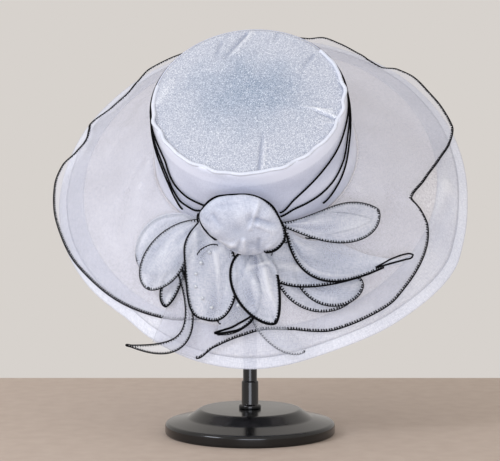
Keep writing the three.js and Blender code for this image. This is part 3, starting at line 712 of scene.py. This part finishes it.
BRIM_ORGANZA = material("brim_organza", organza, "#f6f5fb", "#cbcad6", 0.42, grain=0.7)
FACING_ORGANZA = material("brim_facing_organza", organza, "#f8faff", "#dfe4f3", 0.42, grain=0.6)
HEM_ORGANZA = material("hem_organza", organza, "#f6f8ff", "#dde2f1", 0.6, grain=0.5)
OVERLAY_ORGANZA = material("overlay_organza", organza, "#eef0fa", "#c8cad8", 0.24, grain=0.6)
LEAF_ORGANZA = material("leaf_organza", organza, "#f6f8fe", "#b4bdd2", 0.36)
TAIL_ORGANZA = material("tail_leaf_organza", organza, "#f2f6ff", "#ccd2e2", 0.14)
PUFF_ORGANZA = material("puff_organza", organza, "#f0f3fc", "#b4bdd2", 0.68, mottle=0.1, glint=0.4)
LIP_ORGANZA = material("sash_lip_organza", organza, "#f6f9ff", "#dfe5f5", 0.8, grain=0.2)
SASH_ORGANZA = material("sash_organza", organza, "#e8ecfb", "#cfd5ea", 0.92, grain=0.2, glint=0.35)
WALL_ORGANZA = material("crown_wall_organza", organza, "#e8ecf8", "#c8cede", 0.8)
GLITTER = material("glitter_organza", glitter_organza)
PLASTIC = material("moulded_abs", black_plastic)

# Spun polyester overlock thread: matt black with a faint blue bloom on its twist
THREAD = material("overlock_thread", mottled, 1500, 1, [(0.3, "#000001"), (0.75, "#06070b")],
                  relief=0.4, Roughness=0.8, Specular_IOR_Level=0.1)

# Moulded acrylic bead: clear, with a faint cool tint and tiny flaws inside
BEAD = material("acrylic_bead", mottled, 900, 1, [(0.3, "#c9d2de"), (0.8, "#ffffff")],
                Roughness=0.08, IOR=1.49, Transmission_Weight=0.3)

# Matt painted board: pale and warm, with a faint roller texture
TABLE_PAINT = material("matt_floor_paint", mottled, 60, 3, [(0.3, "#bdac9e"), (0.7, "#c4b4a6")],
                       Roughness=0.7)


# Overlocked edges, made with Geometry Nodes


def overlock_tree():
    """A round cord along an edge, and a stitch over the cloth at every step of it.

    The edge's points carry two vectors: inward, over the cloth, and upward, off it."""
    tree = bpy.data.node_groups.new("overlocked_edge", "GeometryNodeTree")
    tree.interface.new_socket("Edge", in_out="INPUT", socket_type="NodeSocketGeometry")
    for label in ("Cord Radius", "Stitch Spacing", "Stitch Length", "Stitch Width"):
        tree.interface.new_socket(label, in_out="INPUT", socket_type="NodeSocketFloat")
    tree.interface.new_socket("Seed", in_out="INPUT", socket_type="NodeSocketInt")
    tree.interface.new_socket("Geometry", in_out="OUTPUT", socket_type="NodeSocketGeometry")
    given = add(tree, "NodeGroupInput")
    inward, upward = (add(tree, "GeometryNodeInputNamedAttribute", data_type="FLOAT_VECTOR",
                          Name=name) for name in ("inward", "upward"))
    line = add(tree, "GeometryNodeMeshToCurve", {"Mesh": (given, "Edge")})
    ring = add(tree, "GeometryNodeCurvePrimitiveCircle", {"Radius": (given, "Cord Radius")},
               Resolution=CORD_SIDES)
    cord = add(tree, "GeometryNodeCurveToMesh",
               {"Curve": (line, "Curve"), "Profile Curve": (ring, "Curve")}, Fill_Caps=True)
    steps = add(tree, "GeometryNodeResampleCurve",
                {"Curve": (line, "Curve"), "Length": (given, "Stitch Spacing")}, mode="LENGTH")
    reach = add(tree, "FunctionNodeAlignRotationToVector", {"Vector": (inward, "Attribute")},
                axis="X")
    turn = add(tree, "FunctionNodeAlignRotationToVector",
               {"Rotation": (reach, "Rotation"), "Vector": (upward, "Attribute")},
               axis="Z", pivot_axis="X")
    slant = add(tree, "FunctionNodeRandomValue",
                {2: -STITCH_SLANT, 3: STITCH_SLANT, "Seed": (given, "Seed")}, data_type="FLOAT")
    lean = add(tree, "ShaderNodeCombineXYZ", {"Z": (slant, 1)})
    leaning = add(tree, "FunctionNodeEulerToRotation", {"Euler": (lean, "Vector")})
    rotation = add(tree, "FunctionNodeRotateRotation",
                   {"Rotation": (turn, "Rotation"), "Rotate By": (leaning, "Rotation")},
                   rotation_space="LOCAL")
    half_length, half_width = (
        add(tree, "ShaderNodeMath", {0: (given, label), 1: 0.5}, operation="MULTIPLY")
        for label in ("Stitch Length", "Stitch Width"))
    size = add(tree, "ShaderNodeCombineXYZ", {
        "X": (half_length, "Value"), "Y": (half_width, "Value"), "Z": (half_width, "Value")})
    straddle = add(tree, "ShaderNodeMath", {0: (half_length, "Value"), 1: STITCH_INSET},
                   operation="MULTIPLY")
    inset = add(tree, "ShaderNodeCombineXYZ", {"X": (straddle, "Value")})
    bead = add(tree, "GeometryNodeMeshUVSphere", Segments=6, Rings=4, Radius=1)
    stitch = add(tree, "GeometryNodeTransform", {
        "Geometry": (bead, "Mesh"), "Scale": (size, "Vector"), "Translation": (inset, "Vector")})
    laid = add(tree, "GeometryNodeInstanceOnPoints", {
        "Points": (steps, "Curve"), "Instance": (stitch, "Geometry"),
        "Rotation": (rotation, "Rotation")})
    both = add(tree, "GeometryNodeJoinGeometry", {"Geometry": (cord, "Mesh")})
    tree.links.new(laid.outputs["Instances"], both.inputs["Geometry"])
    real = add(tree, "GeometryNodeRealizeInstances", {"Geometry": (both, "Geometry")})
    soft = add(tree, "GeometryNodeSetShadeSmooth", {"Geometry": (real, "Geometry")})
    black = add(tree, "GeometryNodeSetMaterial", {"Geometry": (soft, "Geometry")}, Material=THREAD)
    add(tree, "NodeGroupOutput", {"Geometry": (black, "Geometry")})
    return tree


OVERLOCK = overlock_tree()


def overlocked_edge(name, points, inward, upward, seed, *nodes, cord_radius=CORD_RADIUS,
                    length=STITCH_LENGTH, width=STITCH_WIDTH):
    """The black overlocked edge along points, with its stitches lying inward over the cloth."""
    row = hat_to_row(points)
    mesh = bpy.data.meshes.new(name + "_line")
    mesh.from_pydata([tuple(p) for p in row], [(i, i + 1) for i in range(len(row) - 1)], [])
    turn = np.array(HAT_PLACE)[:3, :3]
    for label, vectors in (("inward", inward), ("upward", upward)):
        layer = mesh.attributes.new(label, "FLOAT_VECTOR", "POINT")
        ways = unit(np.broadcast_to(vectors, row.shape)) @ turn.T
        layer.data.foreach_set("vector", ways.astype(np.float32).ravel())
    line = show(name + "_line", mesh)
    modifier = line.modifiers.new("overlock", "NODES")
    modifier.node_group = OVERLOCK
    sizes = {"Cord Radius": cord_radius * MM, "Stitch Spacing": STITCH_SPACING * MM,
             "Stitch Length": length * MM, "Stitch Width": width * MM, "Seed": seed}
    for socket in OVERLOCK.interface.items_tree:
        if socket.item_type == "SOCKET" and socket.in_out == "INPUT" and socket.name in sizes:
            modifier[socket.identifier] = sizes[socket.name]
    ready = line.evaluated_get(bpy.context.evaluated_depsgraph_get())
    piece = show(name, bpy.data.meshes.new_from_object(ready))
    bpy.data.objects.remove(line)
    settle(piece, THREAD, "black_thread", *nodes)


def settle(piece, finish, slot_name, *nodes):
    """Gives a finished piece its material, and its place in the part."""
    piece.data.materials.clear()
    piece.data.materials.append(finish)
    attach(piece, "root")
    if nodes:
        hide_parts(*nodes)


def flat_area(grid):
    """Area in square metres of a grid of hat points."""
    a = np.cross(grid[1:, :-1] - grid[:-1, :-1], grid[:-1, 1:] - grid[:-1, :-1])
    b = np.cross(grid[1:, 1:] - grid[:-1, 1:], grid[1:, 1:] - grid[1:, :-1])
    return float((np.linalg.norm(a, axis=2).sum() + np.linalg.norm(b, axis=2).sum()) / 2 * MM**2)


# Stand


def stand():
    edge, disc = BASE_EDGE_HEIGHT, BASE_DISC_RADIUS
    base = turned("stand_base_moulding", rounded([
        (0, 0), (BASE_RADIUS - 1, 0), (BASE_RADIUS, 1.5), (BASE_RADIUS, edge - 2),
        (BASE_RADIUS - 2, edge), (disc + 10, edge + 4), (disc, BASE_HEIGHT - 1),
        (disc - 2, BASE_HEIGHT), (0, BASE_HEIGHT),
    ], 1.6), 128)
    settle(base, PLASTIC, "black_plastic", "stand_base")
    up = Vector(HAT_PLACE.col[2][:3])
    centre = HAT_CENTRE / MM
    end_in_hat = HEAD_FLOOR - POLE_RADIUS - 0.3
    pole_end = centre.z + (end_in_hat + centre.x * up.x + centre.y * up.y) / up.z
    foot = BASE_HEIGHT + 0.1
    collar_top = foot + COLLAR_HEIGHT
    sleeve_top = collar_top + SLEEVE_HEIGHT
    dome = [(POLE_RADIUS * math.sin(t), pole_end + POLE_RADIUS * math.cos(t))
            for t in np.radians([75, 60, 45, 30, 15])]
    tube = rounded([
        (0, foot), (COLLAR_RADIUS, foot), (COLLAR_RADIUS, collar_top - 1),
        (COLLAR_RADIUS - 1, collar_top), (SLEEVE_RADIUS, collar_top),
        (SLEEVE_RADIUS, sleeve_top - 1), (SLEEVE_RADIUS - 1, sleeve_top),
        (POLE_RADIUS, sleeve_top), (POLE_RADIUS, pole_end),
    ], 0.6, 3)
    pole = turned("stand_pole_tube", tube + dome + [(0, pole_end + POLE_RADIUS)], 48)
    settle(pole, PLASTIC, "black_plastic", "stand_pole")
    head = turned("stand_head_disc", rounded([
        (0, HEAD_FLOOR), (HEAD_RADIUS - 2, HEAD_FLOOR), (HEAD_RADIUS, HEAD_FLOOR + 2),
        (HEAD_RADIUS, HEAD_EDGE), (HEAD_RADIUS - 3, tip_floor(HEAD_RADIUS) - 0.9),
        (HEAD_RADIUS / 2, tip_floor(HEAD_RADIUS / 2) - HEAD_GAP), (0, tip_floor(0) - HEAD_GAP),
    ], 2), 96, on_hat=True)
    settle(head, PLASTIC, "black_plastic", "stand_head")


# Crown


def tip_floor(radius):
    """Underside of the crown's tip above the brim."""
    return CROWN_HEIGHT + 0.3 + TIP_DOME * (1 - (radius / TIP_RADIUS)**2)


def crown_tip():
    share = np.linspace(0, 1, 34)[None, :]**0.8
    grid = polar(share * TIP_RADIUS, ring_angles(CROWN_STEPS)[:, None], 0)
    x, y = grid[..., 0], grid[..., 1]
    pressed = crease_depth(x, y, TIP_CREASES) * (1 - share**24)
    slack = 0.45 * np.sin(x / 11 + 0.8 * np.sin(y / 17)) * np.sin(y / 13 + 1) * (1 - share**24)
    relief = (slack + 2 * pressed) * (0.3 + 0.7 * share)
    grid[..., 2] = tip_floor(share * TIP_RADIUS) + TIP_LIFT + relief
    # The creases' depth is also painted as shade and highlight on the tip
    tip = cloth("crown_tip_cloth", grid, STIFF, ring=True, pole=True, fold=pressed)
    settle(tip, GLITTER, "glitter_organza", "crown_tip")


def crown_wall():
    heights = np.linspace(0, CROWN_HEIGHT, 12)
    inner = band_radius(heights) - 1.2 - SASH_THICKNESS - 0.6
    grid = polar(inner, ring_angles(CROWN_STEPS)[:, None], heights)
    wall = cloth("crown_wall", grid, WALL_THICKNESS, ring=True)
    settle(wall, WALL_ORGANZA, "white_organza", "crown_side")


def lip_share(angle):
    """How far the sash's folded lip stands up: full at the front and sides, none at the back."""
    return np.clip((112 - np.abs(wrapped(np.asarray(angle) + 78))) / 26, 0, 1)


def crown_sash():
    angles = ring_angles(240)[:, None]
    turn = np.radians(angles)
    front = lip_share(angles)
    body = np.broadcast_to(np.linspace(0, CROWN_HEIGHT, 26), (len(angles), 26))
    lip = CROWN_HEIGHT + (0.4 + 3 * front) * np.linspace(0, 1, 5)[None, 1:]
    high = np.concatenate([body, lip], axis=1)
    share = np.clip(high / CROWN_HEIGHT, 0, 1)
    curl = np.clip(high - CROWN_HEIGHT, 0, None) / LIP_HEIGHT
    folds = 0.45 * np.sin(share * 9 + 1.5 * np.sin(turn * 2)) + 0.3 * np.sin(turn * 5 + share * 14)
    radius = (band_radius(np.minimum(high, CROWN_HEIGHT)) - SASH_THICKNESS / 2 - 0.1
              + folds * 0.5 * np.sin(np.pi * share) - 0.15 - 1.1 * curl * front)
    # Painted shade and highlight along the sash's folds; the lip's curl and a band along the top at
    # the front are made lighter
    bright_top = 0.7 * np.clip((share - 0.84) / 0.05, 0, 1) * front
    sash = cloth("crown_sash_cloth", polar(radius, angles, high), SASH_THICKNESS, ring=True,
                 fold=0.5 * folds + 0.5 * curl + bright_top)
    settle(sash, SASH_ORGANZA, "white_sash", "crown_sash")


def sash_lip():
    """The rolled fold that the sash ends in, round the front and sides of the tip."""
    around = np.linspace(-196, 40, 420)[:, None]
    turn = np.radians(around)
    full = lip_share(around)
    ripple = 0.6 * np.sin(19 * turn) + 0.5 * np.sin(26 * turn + 1) + 0.45 * np.sin(11 * turn + 2)
    ripple = ripple * full
    section = np.radians(np.arange(11) * 36.0)[None, :]
    height = CROWN_HEIGHT + 0.6 + 2.9 * full + 0.5 * ripple + 1.5 * np.sin(section)
    reach = BAND_RADIUS_TOP - 1.9 + 1.2 * ripple + 1.7 * np.cos(section)
    lip = cloth("sash_lip_fold", polar(reach, around, height), LIP_THICKNESS)
    settle(lip, LIP_ORGANZA, "white_sash", "crown_sash")


def sash_cords():
    for seed, (name, rows) in enumerate(SASH_CORDS.items(), 40):
        start, end = rows[0][0], rows[-1][0]
        at = np.linspace(start, end, int((end - start) / 1.5))
        height = follow(rows, at)
        points = polar(band_radius(height) + 1.1, at, height)
        overlocked_edge(name + "_thread", points, UP, polar(1, at, 0), seed, name,
                        cord_radius=SASH_CORD, length=SASH_STITCH)


# Brim


def brim():
    angles = np.arange(288) * 360 / 288 - 180
    turn = np.radians(angles)[:, None]
    outer = follow(BRIM_EDGE, wrapped(angles))[:, None]

    def ring(name, inner, edge, columns, lift, thickness, finish, node):
        radius = blend_to(inner, edge, np.linspace(0, 1, columns)[None, :])
        wave = 0.5 * np.sin(5 * turn + radius / 31) + 0.35 * np.sin(13 * turn + radius / 19)
        wave = wave * np.clip((radius - 105) / 90, 0, 1)
        grid = polar(radius, angles[:, None], brim_height(radius) + lift + wave)
        creased = crease_depth(grid[..., 0], grid[..., 1], BRIM_CREASES)
        grid[..., 2] += creased
        # The creases and waves are also painted as shade and highlight on the brim
        piece = cloth(name, grid, thickness, ring=True, fold=0.45 * creased + 0.3 * wave)
        settle(piece, finish, "white_organza", node)
        return piece, flat_area(np.concatenate([grid, grid[:1]]))

    seam = outer - HEM_WIDTH
    body, area = ring("brim_cloth", BRIM_INNER, seam + 1, 30, 0, STIFF, BRIM_ORGANZA, "brim")
    facing, facing_area = ring("brim_facing", FACING_INNER, seam + 1, 9, 0.55, SHEER,
                               FACING_ORGANZA, "brim")
    hem, _ = ring("brim_hem_band", seam - 0.2, outer, 7, -0.1, HEM_THICKNESS, HEM_ORGANZA,
                  "brim_hem")


def overlay_at(angle, share):
    """A place on the ruffled overlay: share is 0 at the crown and 1 at its outer edge."""
    radius = blend_to(OVERLAY_INNER, follow(OVERLAY_EDGE, angle), share)
    rise = blend_to(follow(OVERLAY_SEAT, angle), follow(OVERLAY_EDGE, angle, 2), share**1.4)
    ruffle = 0.5 * np.sin(np.radians(angle) * 9 + share * 4) * share * (1 - share) * 4
    return polar(radius, angle, brim_height(radius) + rise + ruffle)


def overlay():
    angles = np.arange(-120, 256.01, 1.0)
    grid = overlay_at(angles[:, None], np.linspace(0, 1, 26)[None, :])
    piece = cloth("overlay_cloth", grid, SHEER)
    settle(piece, OVERLAY_ORGANZA, "sheer_organza", "brim_overlay")
    at = np.arange(OVERLAY_EDGING_START, 256.01, 0.5)
    points = overlay_at(at, np.ones_like(at))
    inward = overlay_at(at, np.full_like(at, 0.97)) - points
    upward = np.cross(np.gradient(points, axis=0), inward)
    overlocked_edge("overlay_thread", points, inward, upward, 60, "overlay_edging",
                    cord_radius=OVERLAY_CORD)


# Bow


class Leaf:
    """A leaf's form, by the place s along it, which is 0 at its root and 1 at its tip. Its stem
    lies before the root, back to the sash."""

    def __init__(self, values):
        self.values = values
        root, mid, tip = self.blade = [np.array(values[k], float) for k in ("root", "mid", "tip")]
        wall = band_radius(values["low"]) + 0.3 + 0.18 * values["stem"]
        seat = polar(wall, values["anchor"], 0)[:2]
        stem_length = math.dist(seat, root)
        self.stem = (seat, root - 0.3 * stem_length * unit(mid - root), root)
        self.start = -stem_length / (2 * math.dist(mid, root))
        self.length = math.dist(tip, root)

    def half_width(self, s, left):
        values = self.values
        swell = values.get("swell_left", values["swell"]) if left else values["swell"]
        most = values["left"] if left else values.get("right", values["left"])
        taper, stem = values["taper"], values["stem"]
        peak = swell / (swell + taper)
        inside = np.clip(s, 0, 1)
        body = most * (inside / peak)**swell * ((1 - inside) / (1 - peak))**taper
        tip = values.get("nose", NOSE_RADIUS)
        nose_start = 1 - tip / self.length
        nose = tip * np.sqrt(1 - np.clip((inside - nose_start) / (1 - nose_start), 0, 1)**2)
        return np.where(s <= 0, stem, np.maximum(body + stem * (1 - inside)**taper, nose))

    def points(self, s, sideways, lift=0):
        on_stem = (s < 0)[:, None]
        inside = np.clip(s, 0, 1)
        stem, stem_heading = bezier(*self.stem, np.clip(1 - s / self.start, 0, 1))
        blade, blade_heading = bezier(*self.blade, inside)
        x, y = np.where(on_stem, stem, blade).T
        ahead_x, ahead_y = np.where(on_stem, stem_heading, blade_heading).T
        x, y = x - ahead_y * sideways, y + ahead_x * sideways
        rise = blend_to(self.values["low"], self.values["high"], inside)
        return np.stack([x, y, brim_height(np.hypot(x, y)) + rise + lift], axis=-1)

    def surface(self, s, share, phase):
        """Points at a share of the half-width, from -1 on the right to 1 on the left, with the
        gathers that run out from the root and a soft swell between the edges, and their folds,
        which are also given as painted shade and highlight."""
        values = self.values
        reach = self.half_width(s, share > 0)
        inside = np.clip(s, 0, 1)
        shoulder = values.get("shoulder", 0) * (1 - np.clip((s - 0.05) / 0.4, 0, 1)**2)
        reach = np.maximum(reach, shoulder * np.clip((s + 0.25) * 6, 0, 1))
        if values.get("tucked"):
            reach = reach + TURNED_UNDER
        swell = values.get("crown", 0) * (1 - share**2) * np.sin(np.pi * inside)
        gather = 0.95 * np.exp(-inside / 0.35) * np.sin(share * 9 + phase) * (1 - share**2)
        slack = 0.7 * np.sin(inside * 7 + phase) * np.sin(share * 4 + 2 * phase) * (1 - share**2)
        size = np.array((self.length, reach.max()))
        creases = [(a * size, b * size, width, depth)
                   for a, b, width, depth in values.get("creases", [])]
        creased = crease_depth(inside * self.length, share * reach, creases) * (1 - share**6)
        loose = (gather + slack) * (1 - np.exp(-inside * 12))
        # The second value paints shade and highlight on the creases and gathers
        return self.points(s, share * reach, swell + creased + loose), 0.55 * creased + 0.5 * loose

    def edge(self):
        """The line of the leaf's overlocked edge, and places inward of it on the cloth."""
        values = self.values
        edges = values.get("edges", "both")
        last = values.get("edge_to", 1)
        lift = -1.1 if values.get("tucked") else 0
        sides = []
        for left, first in zip((True, False), values.get("edge_from", (self.start, self.start))):
            s = first + (last - first) * (0.5 - 0.5 * np.cos(np.pi * np.linspace(0, 1, 90)))
            half = self.half_width(s, left) * (1 if left else -1)
            inner = half * (0 if edges == "both" else 0.6)
            sides.append((self.points(s, half, lift),
                          self.points(s - 1.2 / self.length, inner, lift)))
        if edges == "both":
            return [np.concatenate([a, b[::-1][1:]]) for a, b in zip(*sides)]
        return sides[0] if edges == "left" else sides[1]


def leaf_piece(name, values, index):
    leaf = Leaf(values)
    u = np.linspace(0, 1, LEAF_ROWS + 1)
    s = leaf.start + (1 - 0.4 / leaf.length - leaf.start) * (0.5 - 0.5 * np.cos(np.pi * u))
    columns = [leaf.surface(s, share, 1.7 * index) for share in np.linspace(-1, 1, LEAF_COLUMNS + 1)]
    grid, fold = (np.stack(side, axis=1) for side in zip(*columns))
    piece = cloth(name + "_cloth", grid, SHEER, fold=fold)
    finish = TAIL_ORGANZA if name.startswith("tail") else LEAF_ORGANZA
    settle(piece, finish, "sheer_organza", name)
    path, inner = leaf.edge()
    across = inner - path
    heading = unit(np.gradient(path, axis=0))
    across -= heading * np.sum(across * heading, axis=1, keepdims=True)
    upward = np.cross(heading, unit(across))
    upward *= np.sign(upward[:, 2:3])
    overlocked_edge(name + "_thread", path, across, upward, index, name + "_edging",
                    cord_radius=values.get("thread", CORD_RADIUS),
                    length=values.get("stitch", STITCH_LENGTH))
    return leaf


def curled_edges():
    """Edges that show where a tip curls over or a small loop lies on another."""
    for seed, (name, (places, lift, radius, count)) in enumerate(CURLED_EDGES.items(), 100):
        line = smooth_line(places, count * 6)
        path = np.column_stack([line, brim_height(np.hypot(*line.T)) + lift])
        inward = np.cross(UP, unit(np.gradient(path, axis=0)))
        overlocked_edge(name, path, inward, UP, seed, cord_radius=radius,
                        length=CURL_STITCH, width=CURL_STITCH_WIDTH)


def puff_at(angle, reach, depth):
    turn = np.radians(angle)[..., None]
    return (PUFF_CENTRE + PUFF_ACROSS * reach[..., None] * np.cos(turn)
            + PUFF_UP * reach[..., None] * np.sin(turn) + PUFF_OUT * depth[..., None])


def puff():
    angles = np.arange(120) * 3.0 - 180
    turn = np.radians(angles)[:, None]
    share = np.sin(np.linspace(0, np.pi / 2, 40))[None, :]
    radius = follow(PUFF_EDGE, wrapped(angles))[:, None] * share
    across, up = radius * np.cos(turn), radius * np.sin(turn)
    dent = crease_depth(across, up, PUFF_CREASES) * (1 - share**8)
    for (cx, cy), width, amount in PUFF_DENTS:
        away = np.hypot(across - cx, up - cy)
        dent += 0.6 * amount * np.exp(-(away / width)**2) * (1 - share**6)
    pleats = 0.9 * np.sin(11 * turn + 2 * share) * share**2 * (1 - share**8)
    bottom = np.exp(-((np.degrees(turn) + 105) / 38)**2)
    gathered = pleats * (0.4 + 1.6 * bottom)
    depth = PUFF_HEIGHT * np.sqrt(np.clip(1 - share**2, 0, 1)) + dent + gathered
    # The dents and gathers are also painted as shade and highlight on the puff
    piece = cloth("bow_puff_cloth", puff_at(angles[:, None], radius, depth), SHEER * 1.4, ring=True,
                  pole=True, fold=0.27 * dent + 0.4 * gathered)
    settle(piece, PUFF_ORGANZA, "white_organza", "bow_puff")

    line = smooth_line(PUFF_EDGING, 160) * (1, 1, 0.8)
    plane = np.array((PUFF_ACROSS, PUFF_UP, PUFF_OUT))
    rim = PUFF_CENTRE + line @ plane
    inner = PUFF_CENTRE + line * (0.9, 0.9, 1.05) @ plane
    overlocked_edge("bow_puff_thread", rim, inner - rim, PUFF_OUT, 80, "bow_puff_edging",
                    cord_radius=PUFF_CORD)


def bow_stem():
    """The gathered cloth that flares from the sash to the back of the puffed centre."""
    angles = ring_angles(90)[:, None]
    places = np.linspace(0, 1, 14)[None, :]
    ripple = 0.9 * np.sin(9 * np.radians(angles)) * (0.4 + 0.6 * places)
    flare = STEM_RADIUS + 16 * places**1.3 + ripple
    back = blend_to(STEM_BACK + 0.2, 2.0, places) * np.ones_like(flare)
    gather = cloth("bow_stem_gather", puff_at(angles, flare, back), STEM_THICKNESS, ring=True)
    settle(gather, PUFF_ORGANZA, "white_organza", "bow_stem")


def beads(petal):
    """Small clear beads on the beaded petal's cloth."""
    s = np.linspace(0.05, 0.95, 60)
    line = petal.points(s, np.zeros_like(s))[:, :2]
    values = petal.values
    form = bmesh.new()
    for place in BEADS:
        away = np.hypot(*(line - place).T)
        near = np.argmin(away)
        swell = values["crown"] * (1 - min(away[near] / 24, 1)**2) * math.sin(math.pi * s[near])
        rise = blend_to(values["low"], values["high"], s[near]) + swell + 1.1
        centre = Vector((*place, brim_height(math.hypot(*place)) + rise))
        bmesh.ops.create_uvsphere(form, u_segments=14, v_segments=8, radius=BEAD_RADIUS * MM,
                                  matrix=HAT_PLACE @ Matrix.Translation(centre * MM))
    mesh = bpy.data.meshes.new("petal_beads")
    form.to_mesh(mesh)
    form.free()
    mesh.polygons.foreach_set("use_smooth", [True] * len(mesh.polygons))
    settle(show("petal_beads", mesh), BEAD, "sheer_organza")


def bow():
    leaves = {name: leaf_piece(name, values, index)
              for index, (name, values) in enumerate(LEAVES.items(), 1)}
    curled_edges()
    puff()
    bow_stem()
    beads(leaves["beaded_petal"])


# Studio


def studio():
    scene = bpy.context.scene
    camera = bpy.data.cameras.new("camera")
    camera.lens = CAMERA_LENS
    camera.sensor_width = CAMERA_SENSOR
    scene.camera = show("camera", camera)
    scene.camera.location = CAMERA_PLACE
    scene.camera.rotation_euler = (CAMERA_TARGET - CAMERA_PLACE).to_track_quat("-Z", "Y").to_euler()
    half = TABLE_HALF
    corners = [(-half, -half, 0), (half, -half, 0), (half, half, 0), (-half, half, 0)]
    floor = mesh_object("floor", corners, [(0, 1, 2, 3)], smooth=False)
    floor.data.materials.append(TABLE_PAINT)
    scene.world = bpy.data.worlds.new("studio")
    scene.world.use_nodes = True
    background = scene.world.node_tree.nodes["Background"]
    background.inputs["Color"].default_value = linear("#d7d2cd")
    background.inputs["Strength"].default_value = 1.0
    scene.view_settings.view_transform = "Standard"
    for name, place, size, power in LAMPS:
        lamp = bpy.data.lights.new(name, "AREA")
        lamp.size = size
        lamp.energy = power
        lamp.color = linear("#edf2ff")[:3]
        piece = show(name, lamp)
        piece.location = place
        toward = LAMP_TARGET - Vector(place)
        piece.rotation_euler = toward.to_track_quat("-Z", "Y").to_euler()


studio()
stand()
crown_tip()
crown_wall()
crown_sash()
sash_lip()
sash_cords()
brim()
overlay()
bow()
